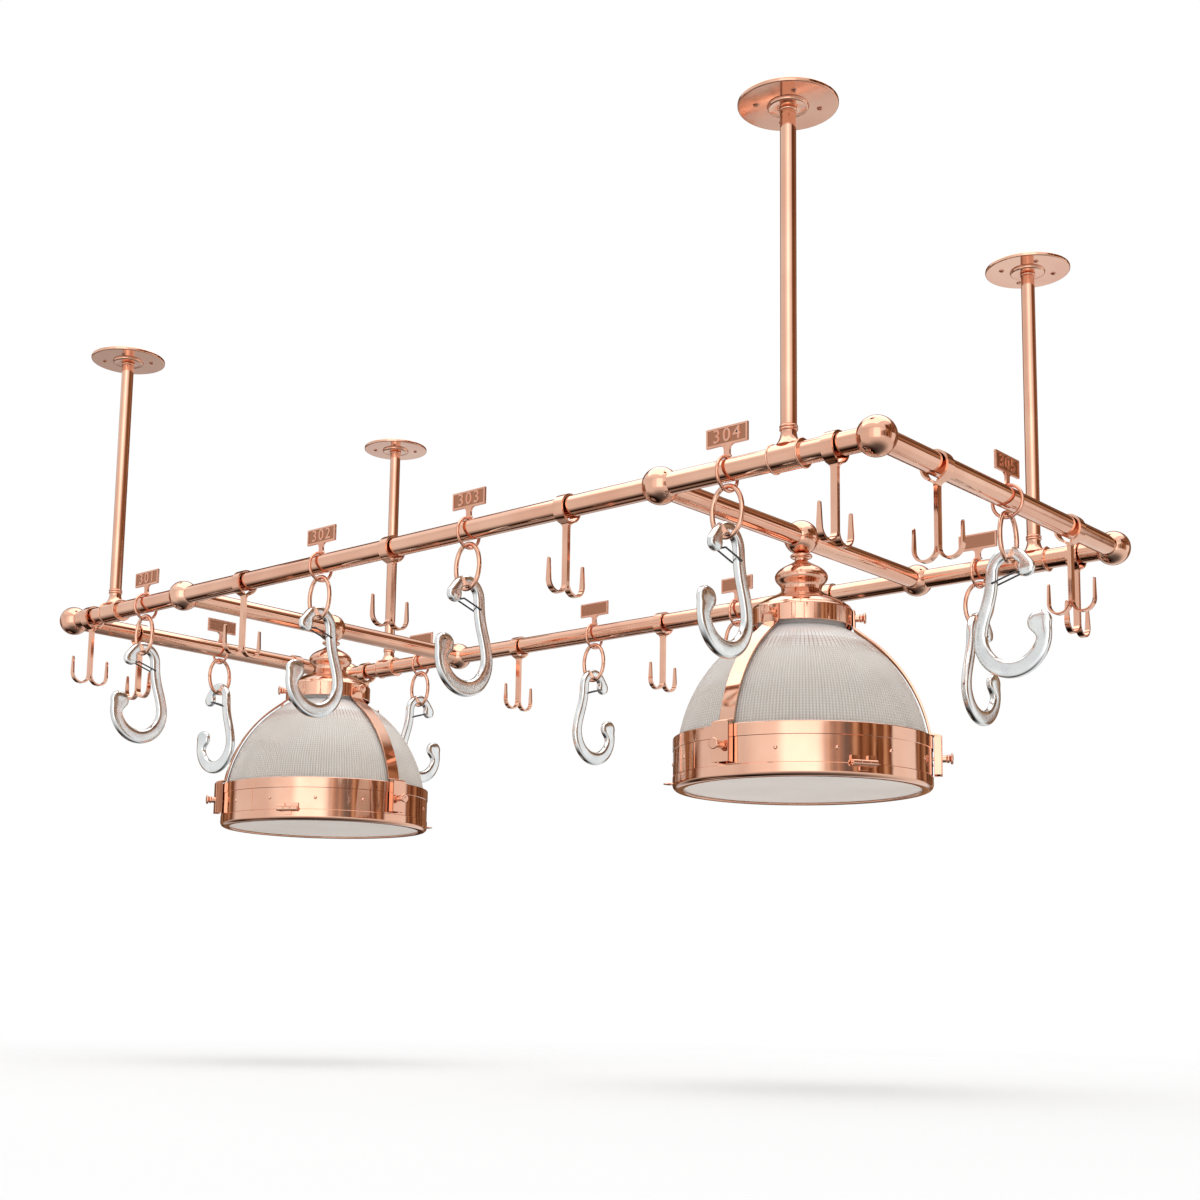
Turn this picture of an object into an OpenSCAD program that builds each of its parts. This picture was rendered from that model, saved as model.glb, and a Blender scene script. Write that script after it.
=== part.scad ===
// Ceiling-hung pot rack: a tube frame on four drop rods, two glass dome lamps on its crossbars,
// fourteen double hooks and ten numbered rings, each with an oval link and a gated pot hook.
// Millimetres, +Z up. The origin is on the ceiling, midway between the four ceiling plates.

/* [Frame] */
// Length of the frame between the centres of the corner balls
rail_l = 1810; // [1500:10:2200]
// Width of the frame between the centres of the corner balls
rail_w = 700; // [660:10:900]
// Height from the rail axis up to the ceiling
drop = 500; // [300:10:1200]
// Outer diameter of the frame tube
tube_d = 31.8; // [28:0.1:34]
// Wall of the frame tube
tube_wall = 1.6; // [1:0.1:3]
// Diameter of the ball fittings
ball_d = 54; // [50:1:60]
// Depth that a tube end reaches into its ball
socket_depth = 9; // [6:0.5:10]
// Distance of each crossbar from the middle of the frame
crossbar_x = 553; // [500:1:600]

/* [Drop rods and ceiling plates] */
// Distance of each rod from the middle of the frame, along the long rail
rod_x = 770; // [740:1:790]
// Outer diameter of the drop rod
rod_d = 22; // [18:0.5:26]
// Diameter of the studs that the rods screw onto
stud_d = 12; // [8:0.5:14]
// Length of those studs
stud_l = 16; // [10:1:30]
// Length of the saddle sleeve round the rail
saddle_l = 50; // [40:1:60]
// Wall of the saddle sleeve
saddle_wall = 3.4; // [2.5:0.1:5]
// Height of the saddle's turned neck over the sleeve
saddle_neck_h = 23; // [18:1:40]
// Diameter of the ceiling plate
plate_d = 138; // [116:1:160]
// Thickness of the ceiling plate
plate_t = 6; // [4:0.5:10]
// Diameter of the raised boss on the ceiling plate
boss_d = 57; // [40:1:66]
// Height of that boss
boss_h = 4; // [2:0.5:8]
// Pitch circle of the screw holes in the ceiling plate
screw_pcd = 88; // [80:1:96]
// Diameter of the screw holes
screw_hole_d = 5.5; // [4:0.5:8]

/* [Double hooks] */
// Distance of the outer double hooks from the middle of the long rail
double_x_outer = 842; // [838:1:846]
// Distance of the next double hooks from the middle of the long rail
double_x_inner = 377; // [340:1:400]
// Distance of the double hooks from the middle of the end rail
double_y = 198; // [150:1:240]
// Thickness of the hook strap
strap_t = 3.2; // [2.5:0.1:4]
// Width of the strap where it bends over the rail
band_w = 18; // [14:1:22]
// Outer height of the band round the rail
band_h = 44; // [42:0.5:50]
// Width of the strap in the stem
stem_w = 11.6; // [9:0.2:14]
// Depth of the bowls' lowest point under the rail axis
double_drop = 132; // [115:1:160]
// Inside radius of each bowl
bowl_r = 16; // [12:0.5:20]
// Height of the prong tips over the bowls' lowest point
prong_h = 50; // [36:1:60]
// Width of the prong tips
tip_w = 8; // [6:0.5:10]

/* [Numbered rings] */
// Distance of the outer rings from the middle of the long rail
ring_x_outer = 669; // [650:1:685]
// Distance of the inner rings from the middle of the long rail
ring_x_inner = 174; // [150:1:200]
// Inside diameter of the loose ring round the rail
ring_in_d = 42; // [40:0.5:48]
// Wire of that ring
ring_wire = 5; // [4:0.2:6]
// Length of the number plate
tag_l = 70; // [50:1:80]
// Height of the number plate
tag_h = 27; // [20:1:34]
// Thickness of the number plate
tag_t = 4; // [3:0.2:5]
// Width of the raised border of the number plate
tag_border = 3; // [2:0.5:4]
// Height of the neck between the ring and the number plate
neck_h = 15; // [12:1:24]
// Width of the neck's waist
neck_w = 10; // [8:0.5:14]

/* [Links] */
// Outer width of the oval link
link_w = 57; // [48:1:62]
// Outer height of the oval link
link_h = 78; // [72:1:100]
// Wire of the oval link
link_wire = 7; // [5:0.2:7.2]

/* [Pot hooks] */
// Thickness of the pot hook, along the rail
hook_t = 13; // [10:0.5:14]
// Rounding of the pot hook's edges
hook_edge = 2.6; // [2:0.1:3.5]
// Radius of the top bend, at the middle of the bar
bend_r = 27; // [25:0.5:30]
// Width of the bar in the top bend
bend_w = 17; // [14:0.5:18]
// Radius of the knob that ends the top bend
knob_r = 13; // [11:0.5:14]
// Depth of the bowl's middle under the link
hook_bowl_z = 106; // [95:1:130]
// How far the bowl's middle stands outward of the link
hook_bowl_y = 3; // [2:0.5:8]
// Radius of the bowl, at the middle of the bar
hook_bowl_r = 49.5; // [44:0.5:54]
// Width of the bar at the bottom of the bowl
hook_bowl_w = 25; // [20:0.5:28]
// Width of the bar in the shaft
shaft_w = 18.5; // [15:0.5:21]
// Radius of the round tip of the bowl
hook_tip_r = 18; // [13:0.5:20]
// Wire of the spring gate
gate_wire = 2.6; // [2:0.1:3.2]

/* [Lamps] */
// Outer diameter of the lamp's bottom ring
lamp_d = 394; // [360:1:440]
// Height of the bottom of the lamp under the rail axis
lamp_drop = 397; // [390:1:440]
// Height of the door ring
door_h = 19.5; // [16:0.5:26]
// Height of the main band
band_ring_h = 42; // [36:1:52]
// Height of the rim over the main band
rim_h = 17.5; // [14:0.5:22]
// Wall of the band and the door ring
ring_wall = 3; // [2:0.5:4]
// Rounding of the door ring's bottom edge
door_edge_r = 8; // [6:0.5:10]
// Width of the door's lip under the lens
door_lip_w = 7; // [4:0.5:12]
// Radius of the glass dome's curve
dome_r = 230; // [224:2:250]
// Wall of the glass dome
glass_t = 5; // [4:0.5:7]
// Outer diameter of the gallery over the glass
gallery_d = 158; // [150:1:166]
// Height of the gallery's band
gallery_h = 29; // [24:1:34]
// Thickness of the lens in the door
lens_t = 4; // [3:0.5:6]
// Width of the straps over the glass
lamp_strap_w = 26; // [20:1:30]
// Thickness of those straps
lamp_strap_t = 3; // [2:0.5:3.5]
// Distance from the main band out to the strap's lower end
stand_off = 10; // [8:0.5:14]

/* [Clearances] */
// Gap between pieces that lie against each other or move
clear = 0.3; // [0.2:0.05:0.4]
// Gap all round a tube or stud in its socket
fit = 0.1; // [0.05:0.01:0.15]

/* [Hidden] */
$fn = 64;
// Steps along each curve of the pot hook's outline
curve_steps = 12;
copper = "#d99a80";
steel = "#b9bec2";
glass = "#dfe8e6";

tube_r = tube_d / 2;
rail_z = -drop;
half_l = rail_l / 2;
half_w = rail_w / 2;
// A tube ends this far from the middle of its ball
tube_inset = ball_d / 2 - socket_depth;

// Numbered rings: x, y and the turn that faces them outward, clockwise from the front left
STATIONS = [
    for (x = [-ring_x_outer, -ring_x_inner, ring_x_inner, ring_x_outer]) [x, -half_w, 180],
    [half_l, 0, -90],
    for (x = [ring_x_outer, ring_x_inner, -ring_x_inner, -ring_x_outer]) [x, half_w, 0],
    [-half_l, 0, 90]
];
RINGS = [for (i = [1 : len(STATIONS)]) i];
// Double hooks along a long rail and along an end rail
LONG_HOOKS = [-double_x_outer, -double_x_inner, 0, double_x_inner, double_x_outer];
END_HOOKS = [-double_y, double_y];

// Ring, link and hook hang from each other at these heights
ring_r = ring_in_d / 2;
ring_z = rail_z + tube_r + clear - ring_r;
link_pivot_z = ring_z - ring_r - ring_wire / 2;
link_top_z = link_pivot_z + ring_wire / 2 + clear + link_wire;
hook_pivot_z = link_top_z - link_h + link_wire / 2;
// Top bend of the pot hook, seen along the rail with the link's wire at its origin
bend_z = link_wire / 2 + 2 * clear + bend_w / 2 - bend_r;
knob_turn = 5;
gate_pivot = [-bend_r + shaft_w / 2 - 5.5, bend_z - 15];
gate_pin_r = gate_wire / 2;
gate_leg_x = hook_t / 2 + clear + gate_pin_r;
knob_c = bend_r * [cos(knob_turn), sin(knob_turn)] + [0, bend_z];
// The gate's free end rests against the knob, on the side of the arch
gate_end = knob_c + (knob_r + clear + gate_pin_r) * [cos(205), sin(205)];

// Double hook
band_out_r = band_h / 2;
band_z = tube_r + clear + strap_t - band_out_r;
bowl_z = strap_t + bowl_r - double_drop;

// Lamp heights are measured from the rail axis
lamp_r = lamp_d / 2;
door_bottom = -lamp_drop;
seam_z = door_bottom + door_h;
band_top = seam_z + band_ring_h;
lamp_top = band_top + rim_h;
gallery_r = gallery_d / 2;
// The dome's curve is centred on the far side of the lamp's axis
foot_r = lamp_r - ring_wall - 5.5;
dome_angle = 8.4;
dome_c = [foot_r - dome_r * cos(dome_angle), lamp_top - dome_r * sin(dome_angle)];
glass_neck_r = gallery_r - 11;
gallery_bottom = dome_c[1] + sqrt(pow(dome_r, 2) - pow(glass_neck_r - dome_c[0], 2)) + 3;
gallery_top = gallery_bottom + gallery_h;
cap_neck_z = -ball_d / 2 - 6;
cap_wide_z = -62;
cap_waist_z = -84;
LAMPS = [[-crossbar_x, 0], [crossbar_x, 30]];
STRAP_TURNS = [0, 120, 240];
hinge_turn = 300;
pull_turns = [60, 180];
hinge_pin_d = 4;
knuckle_d = 9;
knuckle_l = 13;
hinge_r = lamp_r + knuckle_d / 2 + 0.6;

// ---- helpers ----

// Points on an arc about c
function arc(c, r, from, to, n = curve_steps) =
    [for (i = [0 : n]) let (a = from + (to - from) * i / n) c + r * [cos(a), sin(a)]];

// Points on a cubic curve
function bend(p, q, s, t, n = curve_steps) =
    [for (i = [0 : n]) let (u = i / n)
        pow(1 - u, 3) * p + 3 * pow(1 - u, 2) * u * q + 3 * (1 - u) * u * u * s + pow(u, 3) * t];

// A path without its first point
function rest(path) = [for (i = [1 : len(path) - 1]) path[i]];

// Unit direction of a path at its point i
function heading(path, i) =
    let (d = path[min(i + 1, len(path) - 1)] - path[max(i - 1, 0)]) d / norm(d);

// Outline of a bar along a path, with a half width at each point
function bar_outline(path, half) = concat(
    [for (i = [0 : len(path) - 1]) let (h = heading(path, i)) path[i] + half[i] * [-h[1], h[0]]],
    [for (i = [len(path) - 1 : -1 : 0]) let (h = heading(path, i)) path[i] - half[i] * [-h[1], h[0]]]);

// A tube along X, from x = a to x = b
module tube_x(a, b) {
    translate([a, 0, 0]) rotate([0, 90, 0]) difference() {
        cylinder(d = tube_d, h = b - a);
        translate([0, 0, -1]) cylinder(d = tube_d - 2 * tube_wall, h = b - a + 2);
    }
}

// Puts its children at each drop rod
module at_rods() {
    for (x = [-rod_x, rod_x], y = [-half_w, half_w]) translate([x, y, 0]) children();
}

// Puts its children under the middle of a crossbar, turned as that lamp is
module at_lamp(i) {
    translate([LAMPS[i][0], 0, rail_z]) rotate(LAMPS[i][1]) children();
}

// Puts its children at ring i, with X along the rail and Y pointing outward
module at_ring(i) {
    s = STATIONS[i - 1];
    translate([s[0], s[1], 0]) rotate(s[2]) children();
}

// Turns an XY outline so that its X points outward and its Y up, centred along the rail
module across_rail(width) {
    rotate([90, 0, 90]) translate([0, 0, -width / 2]) linear_extrude(width) children();
}

// A torus or part of one, standing in the plane of X and Z
module ring_xz(r, wire, from = 0, sweep = 360) {
    rotate([90, 0, 0]) rotate(from) rotate_extrude(angle = sweep) translate([r, 0]) circle(d = wire);
}

// ---- frame ----

// Both long rails, each in three lengths between its balls
module long_tubes() {
    color(copper) for (y = [-half_w, half_w]) translate([0, y, rail_z]) {
        tube_x(-half_l + tube_inset, -crossbar_x - tube_inset);
        tube_x(-crossbar_x + tube_inset, crossbar_x - tube_inset);
        tube_x(crossbar_x + tube_inset, half_l - tube_inset);
    }
}

// The end rails and the crossbars, four tubes of one length
module short_tubes() {
    color(copper) for (x = [-half_l, -crossbar_x, crossbar_x, half_l])
        translate([x, 0, rail_z]) rotate(90) tube_x(-half_w + tube_inset, half_w - tube_inset);
}

// One ball with a socket for each tube; turns lists the tubes' directions
module ball(turns, socket_from) {
    difference() {
        rotate(45) sphere(d = ball_d);
        for (a = turns) rotate(a) translate([socket_from, 0, 0]) rotate([0, 90, 0])
            cylinder(d = tube_d + 2 * clear, h = 2 * ball_d);
    }
}

// Corner balls, tee balls and the balls in the middle of the crossbars
module ball_fittings() {
    color(copper) translate([0, 0, rail_z]) {
        for (x = [-1, 1], y = [-1, 1]) {
            translate([x * half_l, y * half_w, 0])
                ball([x > 0 ? 180 : 0, y > 0 ? -90 : 90], tube_inset - clear);
            translate([x * crossbar_x, y * half_w, 0])
                ball([0, 180, y > 0 ? -90 : 90], tube_inset - clear);
        }
        for (x = [-crossbar_x, crossbar_x]) translate([x, 0, 0]) difference() {
            ball([90], -ball_d);
            translate([0, 0, -ball_d]) cylinder(d = stud_d + 2 * fit, h = ball_d);
        }
    }
}

// ---- hanging from the ceiling ----

bead_h = 4;
bead_d = rod_d + 3;
rod_top = -plate_t - boss_h - bead_h;
rod_bottom = rail_z + tube_r + saddle_wall + saddle_neck_h;

// Round plates with a raised boss, a bead and a stud for the rod
module ceiling_plates() {
    color(copper) at_rods() difference() {
        union() {
            translate([0, 0, -plate_t]) cylinder(d = plate_d, h = plate_t);
            translate([0, 0, -plate_t - boss_h]) cylinder(d1 = boss_d - boss_h, d2 = boss_d, h = boss_h);
            translate([0, 0, rod_top]) bead(bead_d, bead_h);
            translate([0, 0, rod_top - stud_l]) cylinder(d = stud_d, h = stud_l + 1);
        }
        for (a = [45 : 90 : 315]) rotate(a) translate([screw_pcd / 2, 0, -plate_t - 1])
            cylinder(d = screw_hole_d, h = plate_t + 2);
    }
}

// A turned bead: a disc with a round edge
module bead(d, h) {
    cylinder(d = d - h, h = h);
    translate([0, 0, h / 2]) rotate_extrude() translate([(d - h) / 2, 0]) circle(d = h);
}

// Drop rods, bored at both ends for the studs
module drop_rods() {
    color(copper) at_rods() difference() {
        translate([0, 0, rod_bottom]) cylinder(d = rod_d, h = rod_top - rod_bottom);
        for (z = [rod_bottom - 1, rod_top - stud_l - 1])
            translate([0, 0, z]) cylinder(d = stud_d + 2 * fit, h = stud_l + 2);
    }
}

// Sleeves round the long rails, with rolled lips and a turned neck up to the rod
module rod_saddles() {
    sleeve_r = tube_r + saddle_wall;
    lip = 3;
    color(copper) at_rods() translate([0, 0, rail_z]) difference() {
        union() {
            rotate([0, 90, 0]) {
                cylinder(r = sleeve_r, h = saddle_l, center = true);
                for (z = [-1, 1] * (saddle_l - lip) / 2) translate([0, 0, z]) rotate_extrude()
                    translate([sleeve_r, 0]) circle(d = lip);
            }
            cylinder(r1 = sleeve_r, r2 = bead_d / 2 - 2, h = sleeve_r + saddle_neck_h - 2 * bead_h);
            for (z = [0, 1]) translate([0, 0, sleeve_r + saddle_neck_h - (z + 1) * bead_h])
                bead(bead_d, bead_h);
            translate([0, 0, sleeve_r]) cylinder(d = stud_d, h = saddle_neck_h + stud_l);
        }
        rotate([0, 90, 0]) cylinder(d = tube_d + 2 * fit, h = saddle_l + 2 * lip, center = true);
    }
}

// ---- double hooks ----

// One strap bent over the rail, pinched into a stem and split into two bowls
module double_hook() {
    color(copper) {
        across_rail(band_w) difference() {
            translate([0, band_z]) circle(r = band_out_r);
            translate([0, band_z]) circle(r = band_out_r - strap_t);
        }
        across_rail(stem_w) {
            translate([-strap_t, bowl_z]) square([2 * strap_t, band_z - band_out_r + strap_t / 2 - bowl_z]);
            translate([-1, bowl_z - 7]) square([2, 8]);
            for (side = [-1, 1]) translate([side * (bowl_r + strap_t), bowl_z]) difference() {
                circle(r = bowl_r + strap_t);
                circle(r = bowl_r);
                translate([-bowl_r - 2 * strap_t, 0]) square(2 * (bowl_r + 2 * strap_t));
            }
        }
        for (side = [-1, 1]) prong(side);
    }
}

// The straight end of a double hook: it narrows to a round tip
module prong(side) {
    rise = prong_h - strap_t - bowl_r - tip_w / 2;
    translate([0, side * (2 * bowl_r + 1.5 * strap_t) + strap_t / 2, bowl_z])
        rotate([90, 0, 0]) linear_extrude(strap_t) {
            polygon([[-stem_w / 2, 0], [stem_w / 2, 0], [tip_w / 2, rise], [-tip_w / 2, rise]]);
            translate([0, rise]) circle(d = tip_w);
        }
}

module front_double_hooks() {
    for (x = LONG_HOOKS) translate([x, -half_w, rail_z]) double_hook();
}

module back_double_hooks() {
    for (x = LONG_HOOKS) translate([x, half_w, rail_z]) double_hook();
}

module left_double_hooks() {
    for (y = END_HOOKS) translate([-half_l, y, rail_z]) rotate(90) double_hook();
}

module right_double_hooks() {
    for (y = END_HOOKS) translate([half_l, y, rail_z]) rotate(90) double_hook();
}

// ---- numbered rings, links, pot hooks and gates ----

// A loose ring over the rail with a number plate on a flared neck
module ring_holder(i) {
    ring_top = ring_z + ring_r + ring_wire;
    tag_z = ring_top + neck_h;
    flare = 7;
    color(copper) at_ring(i) {
        translate([0, 0, ring_z]) rotate(90) ring_xz(ring_r + ring_wire / 2, ring_wire);
        difference() {
            translate([0, tag_t / 2, 0]) rotate([90, 0, 0]) linear_extrude(tag_t) {
                translate([-tag_l / 2, tag_z]) square([tag_l, tag_h]);
                difference() {
                    translate([-neck_w / 2 - flare + 1, ring_top - ring_wire / 2])
                        square([neck_w + 2 * flare - 2, neck_h + ring_wire]);
                    for (side = [-1, 1]) translate([side * (neck_w / 2 + flare), 0]) {
                        translate([0, tag_z - flare]) circle(r = flare);
                        translate([-flare, 0]) square([2 * flare, tag_z - flare]);
                    }
                }
            }
            translate([-tag_l / 2 + tag_border, tag_t / 2 - 0.8, tag_z + tag_border])
                cube([tag_l - 2 * tag_border, tag_t, tag_h - 2 * tag_border]);
        }
    }
}

// An oval of round wire that hangs in the ring
module link(i) {
    r = (link_w - link_wire) / 2;
    top = link_top_z - link_w / 2;
    bottom = link_top_z - link_h + link_w / 2;
    color(copper) at_ring(i) {
        translate([0, 0, top]) ring_xz(r, link_wire, 0, 180);
        translate([0, 0, bottom]) ring_xz(r, link_wire, 180, 180);
        for (side = [-1, 1]) translate([side * r, 0, bottom]) cylinder(d = link_wire, h = top - bottom);
    }
}

// The pot hook's bar, from the knob over the link, down the shaft and round the bowl
bowl_c = [hook_bowl_y, -hook_bowl_z];
bowl_from = 172;
bowl_to = 368;
shaft_end = bowl_c + hook_bowl_r * [cos(bowl_from), sin(bowl_from)];
BEND_PATH = arc([0, bend_z], bend_r, knob_turn, 180);
SHAFT_PATH = bend([-bend_r, bend_z], [-bend_r, bend_z - 40],
                  shaft_end - 30 * [-sin(bowl_from), cos(bowl_from)], shaft_end);
BOWL_PATH = arc(bowl_c, hook_bowl_r, bowl_from, bowl_to, 2 * curve_steps);
HOOK_PATH = concat(BEND_PATH, rest(SHAFT_PATH), rest(BOWL_PATH));
// Width of the bar at each point of that path
HOOK_WIDTHS = concat(
    [for (k = [0 : curve_steps]) bend_w],
    [for (k = [1 : curve_steps]) bend_w + (shaft_w - bend_w) * k / curve_steps],
    [for (k = [1 : 2 * curve_steps]) shaft_w + (hook_bowl_w - shaft_w) * sin(90 * k / curve_steps)]);
tip_c = bowl_c + hook_bowl_r * [cos(bowl_to), sin(bowl_to)] + [-7, 7];

// Outline of the pot hook, drawn in by an amount all round
module hook_outline(inset) {
    polygon(bar_outline(HOOK_PATH, [for (w = HOOK_WIDTHS) w / 2 - inset]));
    translate(knob_c) circle(r = knob_r - inset);
    translate(tip_c) circle(r = hook_tip_r - inset);
}

// A forged hook: a full core between two faces drawn in by the rounding of its edges
module pot_hook(i) {
    color(steel) at_ring(i) translate([0, 0, hook_pivot_z]) difference() {
        union() {
            across_rail(hook_t - 2 * hook_edge) hook_outline(0);
            across_rail(hook_t - hook_edge) hook_outline(hook_edge * 0.35);
            across_rail(hook_t) hook_outline(hook_edge);
        }
        translate([0, gate_pivot[0], gate_pivot[1]]) rotate([0, 90, 0])
            cylinder(r = gate_pin_r + fit, h = 2 * hook_t, center = true);
    }
}

// A wire gate: two legs pinned through the shaft, joined at the end that closes on the knob
module hook_gate(i) {
    pin_in = 4;
    length = norm(gate_end - gate_pivot);
    turn = atan2(gate_end[1] - gate_pivot[1], gate_end[0] - gate_pivot[0]);
    color(steel) at_ring(i) translate([0, gate_pivot[0], hook_pivot_z + gate_pivot[1]])
        rotate([turn, 0, 0]) {
            for (side = [-1, 1]) {
                translate([side * gate_leg_x, 0, 0]) {
                    rotate([-90, 0, 0]) cylinder(d = gate_wire, h = length);
                    sphere(d = gate_wire);
                    translate([0, length, 0]) sphere(d = gate_wire);
                    rotate([0, -side * 90, 0]) cylinder(d = gate_wire, h = gate_leg_x - hook_t / 2 + pin_in);
                }
            }
            translate([0, length, 0]) rotate([0, 90, 0])
                cylinder(d = gate_wire, h = 2 * gate_leg_x, center = true);
        }
}

// ---- lamps ----

// A spun cap: bead, neck, vase and flared gallery, hollow under the flare, with its lampholder
module lamp_caps() {
    wall = 2;
    color(copper) for (i = [0, 1]) at_lamp(i) {
        difference() {
            rotate_extrude() {
                polygon(concat(
                    [[0, -tube_r - clear - fit], [stud_d / 2, -tube_r - clear - fit], [stud_d / 2, -ball_d / 2 - clear]],
                    arc([14, cap_neck_z + 3], 3, 90, -90, 6), [[10, cap_neck_z]],
                    bend([10, cap_neck_z - 4], [16, cap_neck_z - 12], [cap_wide_r - 4, cap_wide_z + 14],
                         [cap_wide_r, cap_wide_z], 8),
                    bend([cap_wide_r, cap_wide_z - 2], [cap_wide_r, cap_wide_z - 10], [cap_waist_r, cap_waist_z + 10],
                         [cap_waist_r, cap_waist_z], 8),
                    bend([cap_waist_r, cap_waist_z - 1], [cap_waist_r + 4, cap_waist_z - 10],
                         [cap_waist_r + 26, cap_waist_z - 14], [gallery_r - 3, gallery_top + 2], 8),
                    arc([gallery_r - 4, gallery_top - 4], 4, 50, 0, 4),
                    [[gallery_r, gallery_bottom], [0, gallery_bottom]]));
            }
            rotate_extrude() polygon([[0, holder_top], [cap_waist_r, holder_top],
                [gallery_r - wall, gallery_top - 6], [gallery_r - wall, gallery_bottom - 1],
                [0, gallery_bottom - 1]]);
        }
        translate([0, 0, holder_top - holder_l]) difference() {
            cylinder(r = holder_r, h = holder_l);
            translate([0, 0, -1]) cylinder(r = bulb_cap_r + fit, h = holder_bore + 1);
        }
    }
}
cap_wide_r = 41;
cap_waist_r = 31;
holder_r = 21;
holder_top = cap_waist_z - 16;
holder_l = 62;
holder_bore = 31;
bulb_cap_r = 13.3;

// Glass lamps screwed into the lampholders
module bulbs() {
    globe_r = bulb_cap_r * 2.4;
    // The neck widens from the cap to the globe, whose middle is this far under the lampholder
    neck_from = bulb_cap_r * 0.9;
    globe_down = bulb_cap_r * 6;
    neck_to = globe_down - globe_r * 0.56;
    top = holder_top - holder_l;
    color(glass) for (i = [0, 1]) at_lamp(i) {
        translate([0, 0, top - neck_from]) cylinder(r = bulb_cap_r, h = neck_from + holder_bore - 5);
        translate([0, 0, top - neck_to])
            cylinder(r1 = globe_r * 0.8, r2 = bulb_cap_r * 1.2, h = neck_to - neck_from);
        translate([0, 0, top - globe_down]) sphere(r = globe_r);
    }
}

// Spun glass domes with a neck in the gallery and a foot in the rim
module glass_domes() {
    foot_h = rim_h - 3;
    neck_top = gallery_bottom + 14;
    color(glass) for (i = [0, 1]) at_lamp(i) rotate_extrude() difference() {
        union() {
            intersection() {
                translate(dome_c) circle(r = dome_r, $fn = 128);
                translate([0, lamp_top]) square([foot_r + 1, gallery_bottom - 2 - lamp_top]);
            }
            translate([0, lamp_top - foot_h]) square([foot_r, foot_h]);
            translate([0, gallery_bottom - 3]) square([glass_neck_r, neck_top - gallery_bottom + 3]);
        }
        translate(dome_c) intersection() {
            circle(r = dome_r - glass_t, $fn = 128);
            translate([-dome_c[0], lamp_top - dome_c[1]]) square([dome_r, dome_r]);
        }
        translate([0, lamp_top - foot_h - 1]) square([foot_r - glass_t, foot_h + 1.5]);
        translate([0, gallery_bottom - 30]) square([glass_neck_r - glass_t, neck_top - gallery_bottom + 31]);
    }
}

// Three flat straps a lamp, from the gallery over the glass and down beside the band
module lamp_straps() {
    color(copper) for (i = [0, 1], a = STRAP_TURNS) at_lamp(i) rotate(a) {
        lamp_strap();
        // The strap's lower end is folded back on both sides towards the band
        for (side = [-1, 1]) translate([lamp_r + 1, side * (lamp_strap_w - lamp_strap_t) / 2, seam_z + 4])
            translate([0, -lamp_strap_t / 2, 0]) cube([stand_off, lamp_strap_t, lamp_top - seam_z - 8]);
    }
}

module lamp_strap() {
    off = 3;
    t = lamp_strap_t;
    near = dome_r + off;
    // Where the strap leaves the gallery, and where it reaches the top of the rim
    leave = dome_c + near * [cos(50), sin(50)];
    reach = dome_c + near * [cos(dome_angle + 1.2), sin(dome_angle + 1.2)];
    inner = lamp_r + stand_off;
    low = seam_z + 4;
    mid = low + strap_screw_up;
    difference() {
        intersection() {
            rotate_extrude() {
                translate([gallery_r + clear, gallery_bottom - 3]) square([t, gallery_h - 1]);
                polygon([[gallery_r + clear, gallery_bottom - 3], [gallery_r + clear + t, gallery_bottom - 3],
                         leave + t * [cos(50), sin(50)], leave]);
                intersection() {
                    difference() {
                        translate(dome_c) circle(r = near + t, $fn = 128);
                        translate(dome_c) circle(r = near, $fn = 128);
                    }
                    translate([leave[0] - 1, reach[1]]) square([inner, leave[1] - reach[1] + 1.8]);
                }
                polygon([reach, reach + [t, 0], [inner + t, lamp_top + t + 1], [inner + t, lamp_top - 4],
                         [inner, lamp_top - 4], [inner, lamp_top + 1], [reach[0] - 0.4, reach[1] - 3]]);
                translate([inner, low]) square([t, lamp_top + 1 - low]);
            }
            translate([0, -lamp_strap_w / 2, door_bottom]) cube([2 * lamp_r, lamp_strap_w, lamp_drop]);
        }
        for (z = [mid, gallery_mid]) translate([0, 0, z]) rotate([0, 90, 0])
            cylinder(d = screw_d + 2 * clear, h = 2 * lamp_r);
    }
}
strap_screw_up = 24;
screw_d = 5;
gallery_mid = gallery_bottom + gallery_h / 2;
// The band stands in a little from the rim and the door ring
band_r = lamp_r - 1;

// A thumb screw along X: shank, nut, waist and finger disc, with its nut against x = 0
module thumb_screw(shank) {
    rotate([0, 90, 0]) {
        translate([0, 0, -shank]) cylinder(d = screw_d, h = shank + 12);
        cylinder(d = 11, h = 5);
        translate([0, 0, 4]) cylinder(d = 7, h = 9);
        translate([0, 0, 12]) bead(17, 4);
    }
}

// Two thumb screws a strap: one into the gallery, one into the band
module thumb_screws() {
    band_x = lamp_r + stand_off + lamp_strap_t + clear;
    color(copper) for (i = [0, 1], a = STRAP_TURNS) at_lamp(i) rotate(a) {
        translate([gallery_r + lamp_strap_t + 2 * clear, 0, gallery_mid]) thumb_screw(lamp_strap_t + clear);
        translate([band_x, 0, seam_z + 4 + strap_screw_up]) thumb_screw(band_x - band_r - clear);
    }
}

// Rim and band in one spinning, with a ledge for the glass and the fixed hinge knuckles
module lamp_bands() {
    ledge = 3;
    in_r = lamp_r - ring_wall;
    color(copper) for (i = [0, 1]) at_lamp(i) {
        rotate_extrude() {
            translate([band_r - ring_wall, seam_z]) square([ring_wall, band_ring_h]);
            translate([in_r, band_top - 2]) square([ring_wall, rim_h + 2 - 1.5]);
            translate([lamp_r - 1.5, lamp_top - 1.5]) circle(r = 1.5);
            translate([foot_r - glass_t - 4, band_top]) square([lamp_r - foot_r + glass_t + 3, ledge - clear]);
        }
        rotate(hinge_turn) for (side = [-1, 1])
            hinge_knuckle(side * (knuckle_l + clear), seam_z, 1);
    }
}

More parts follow.
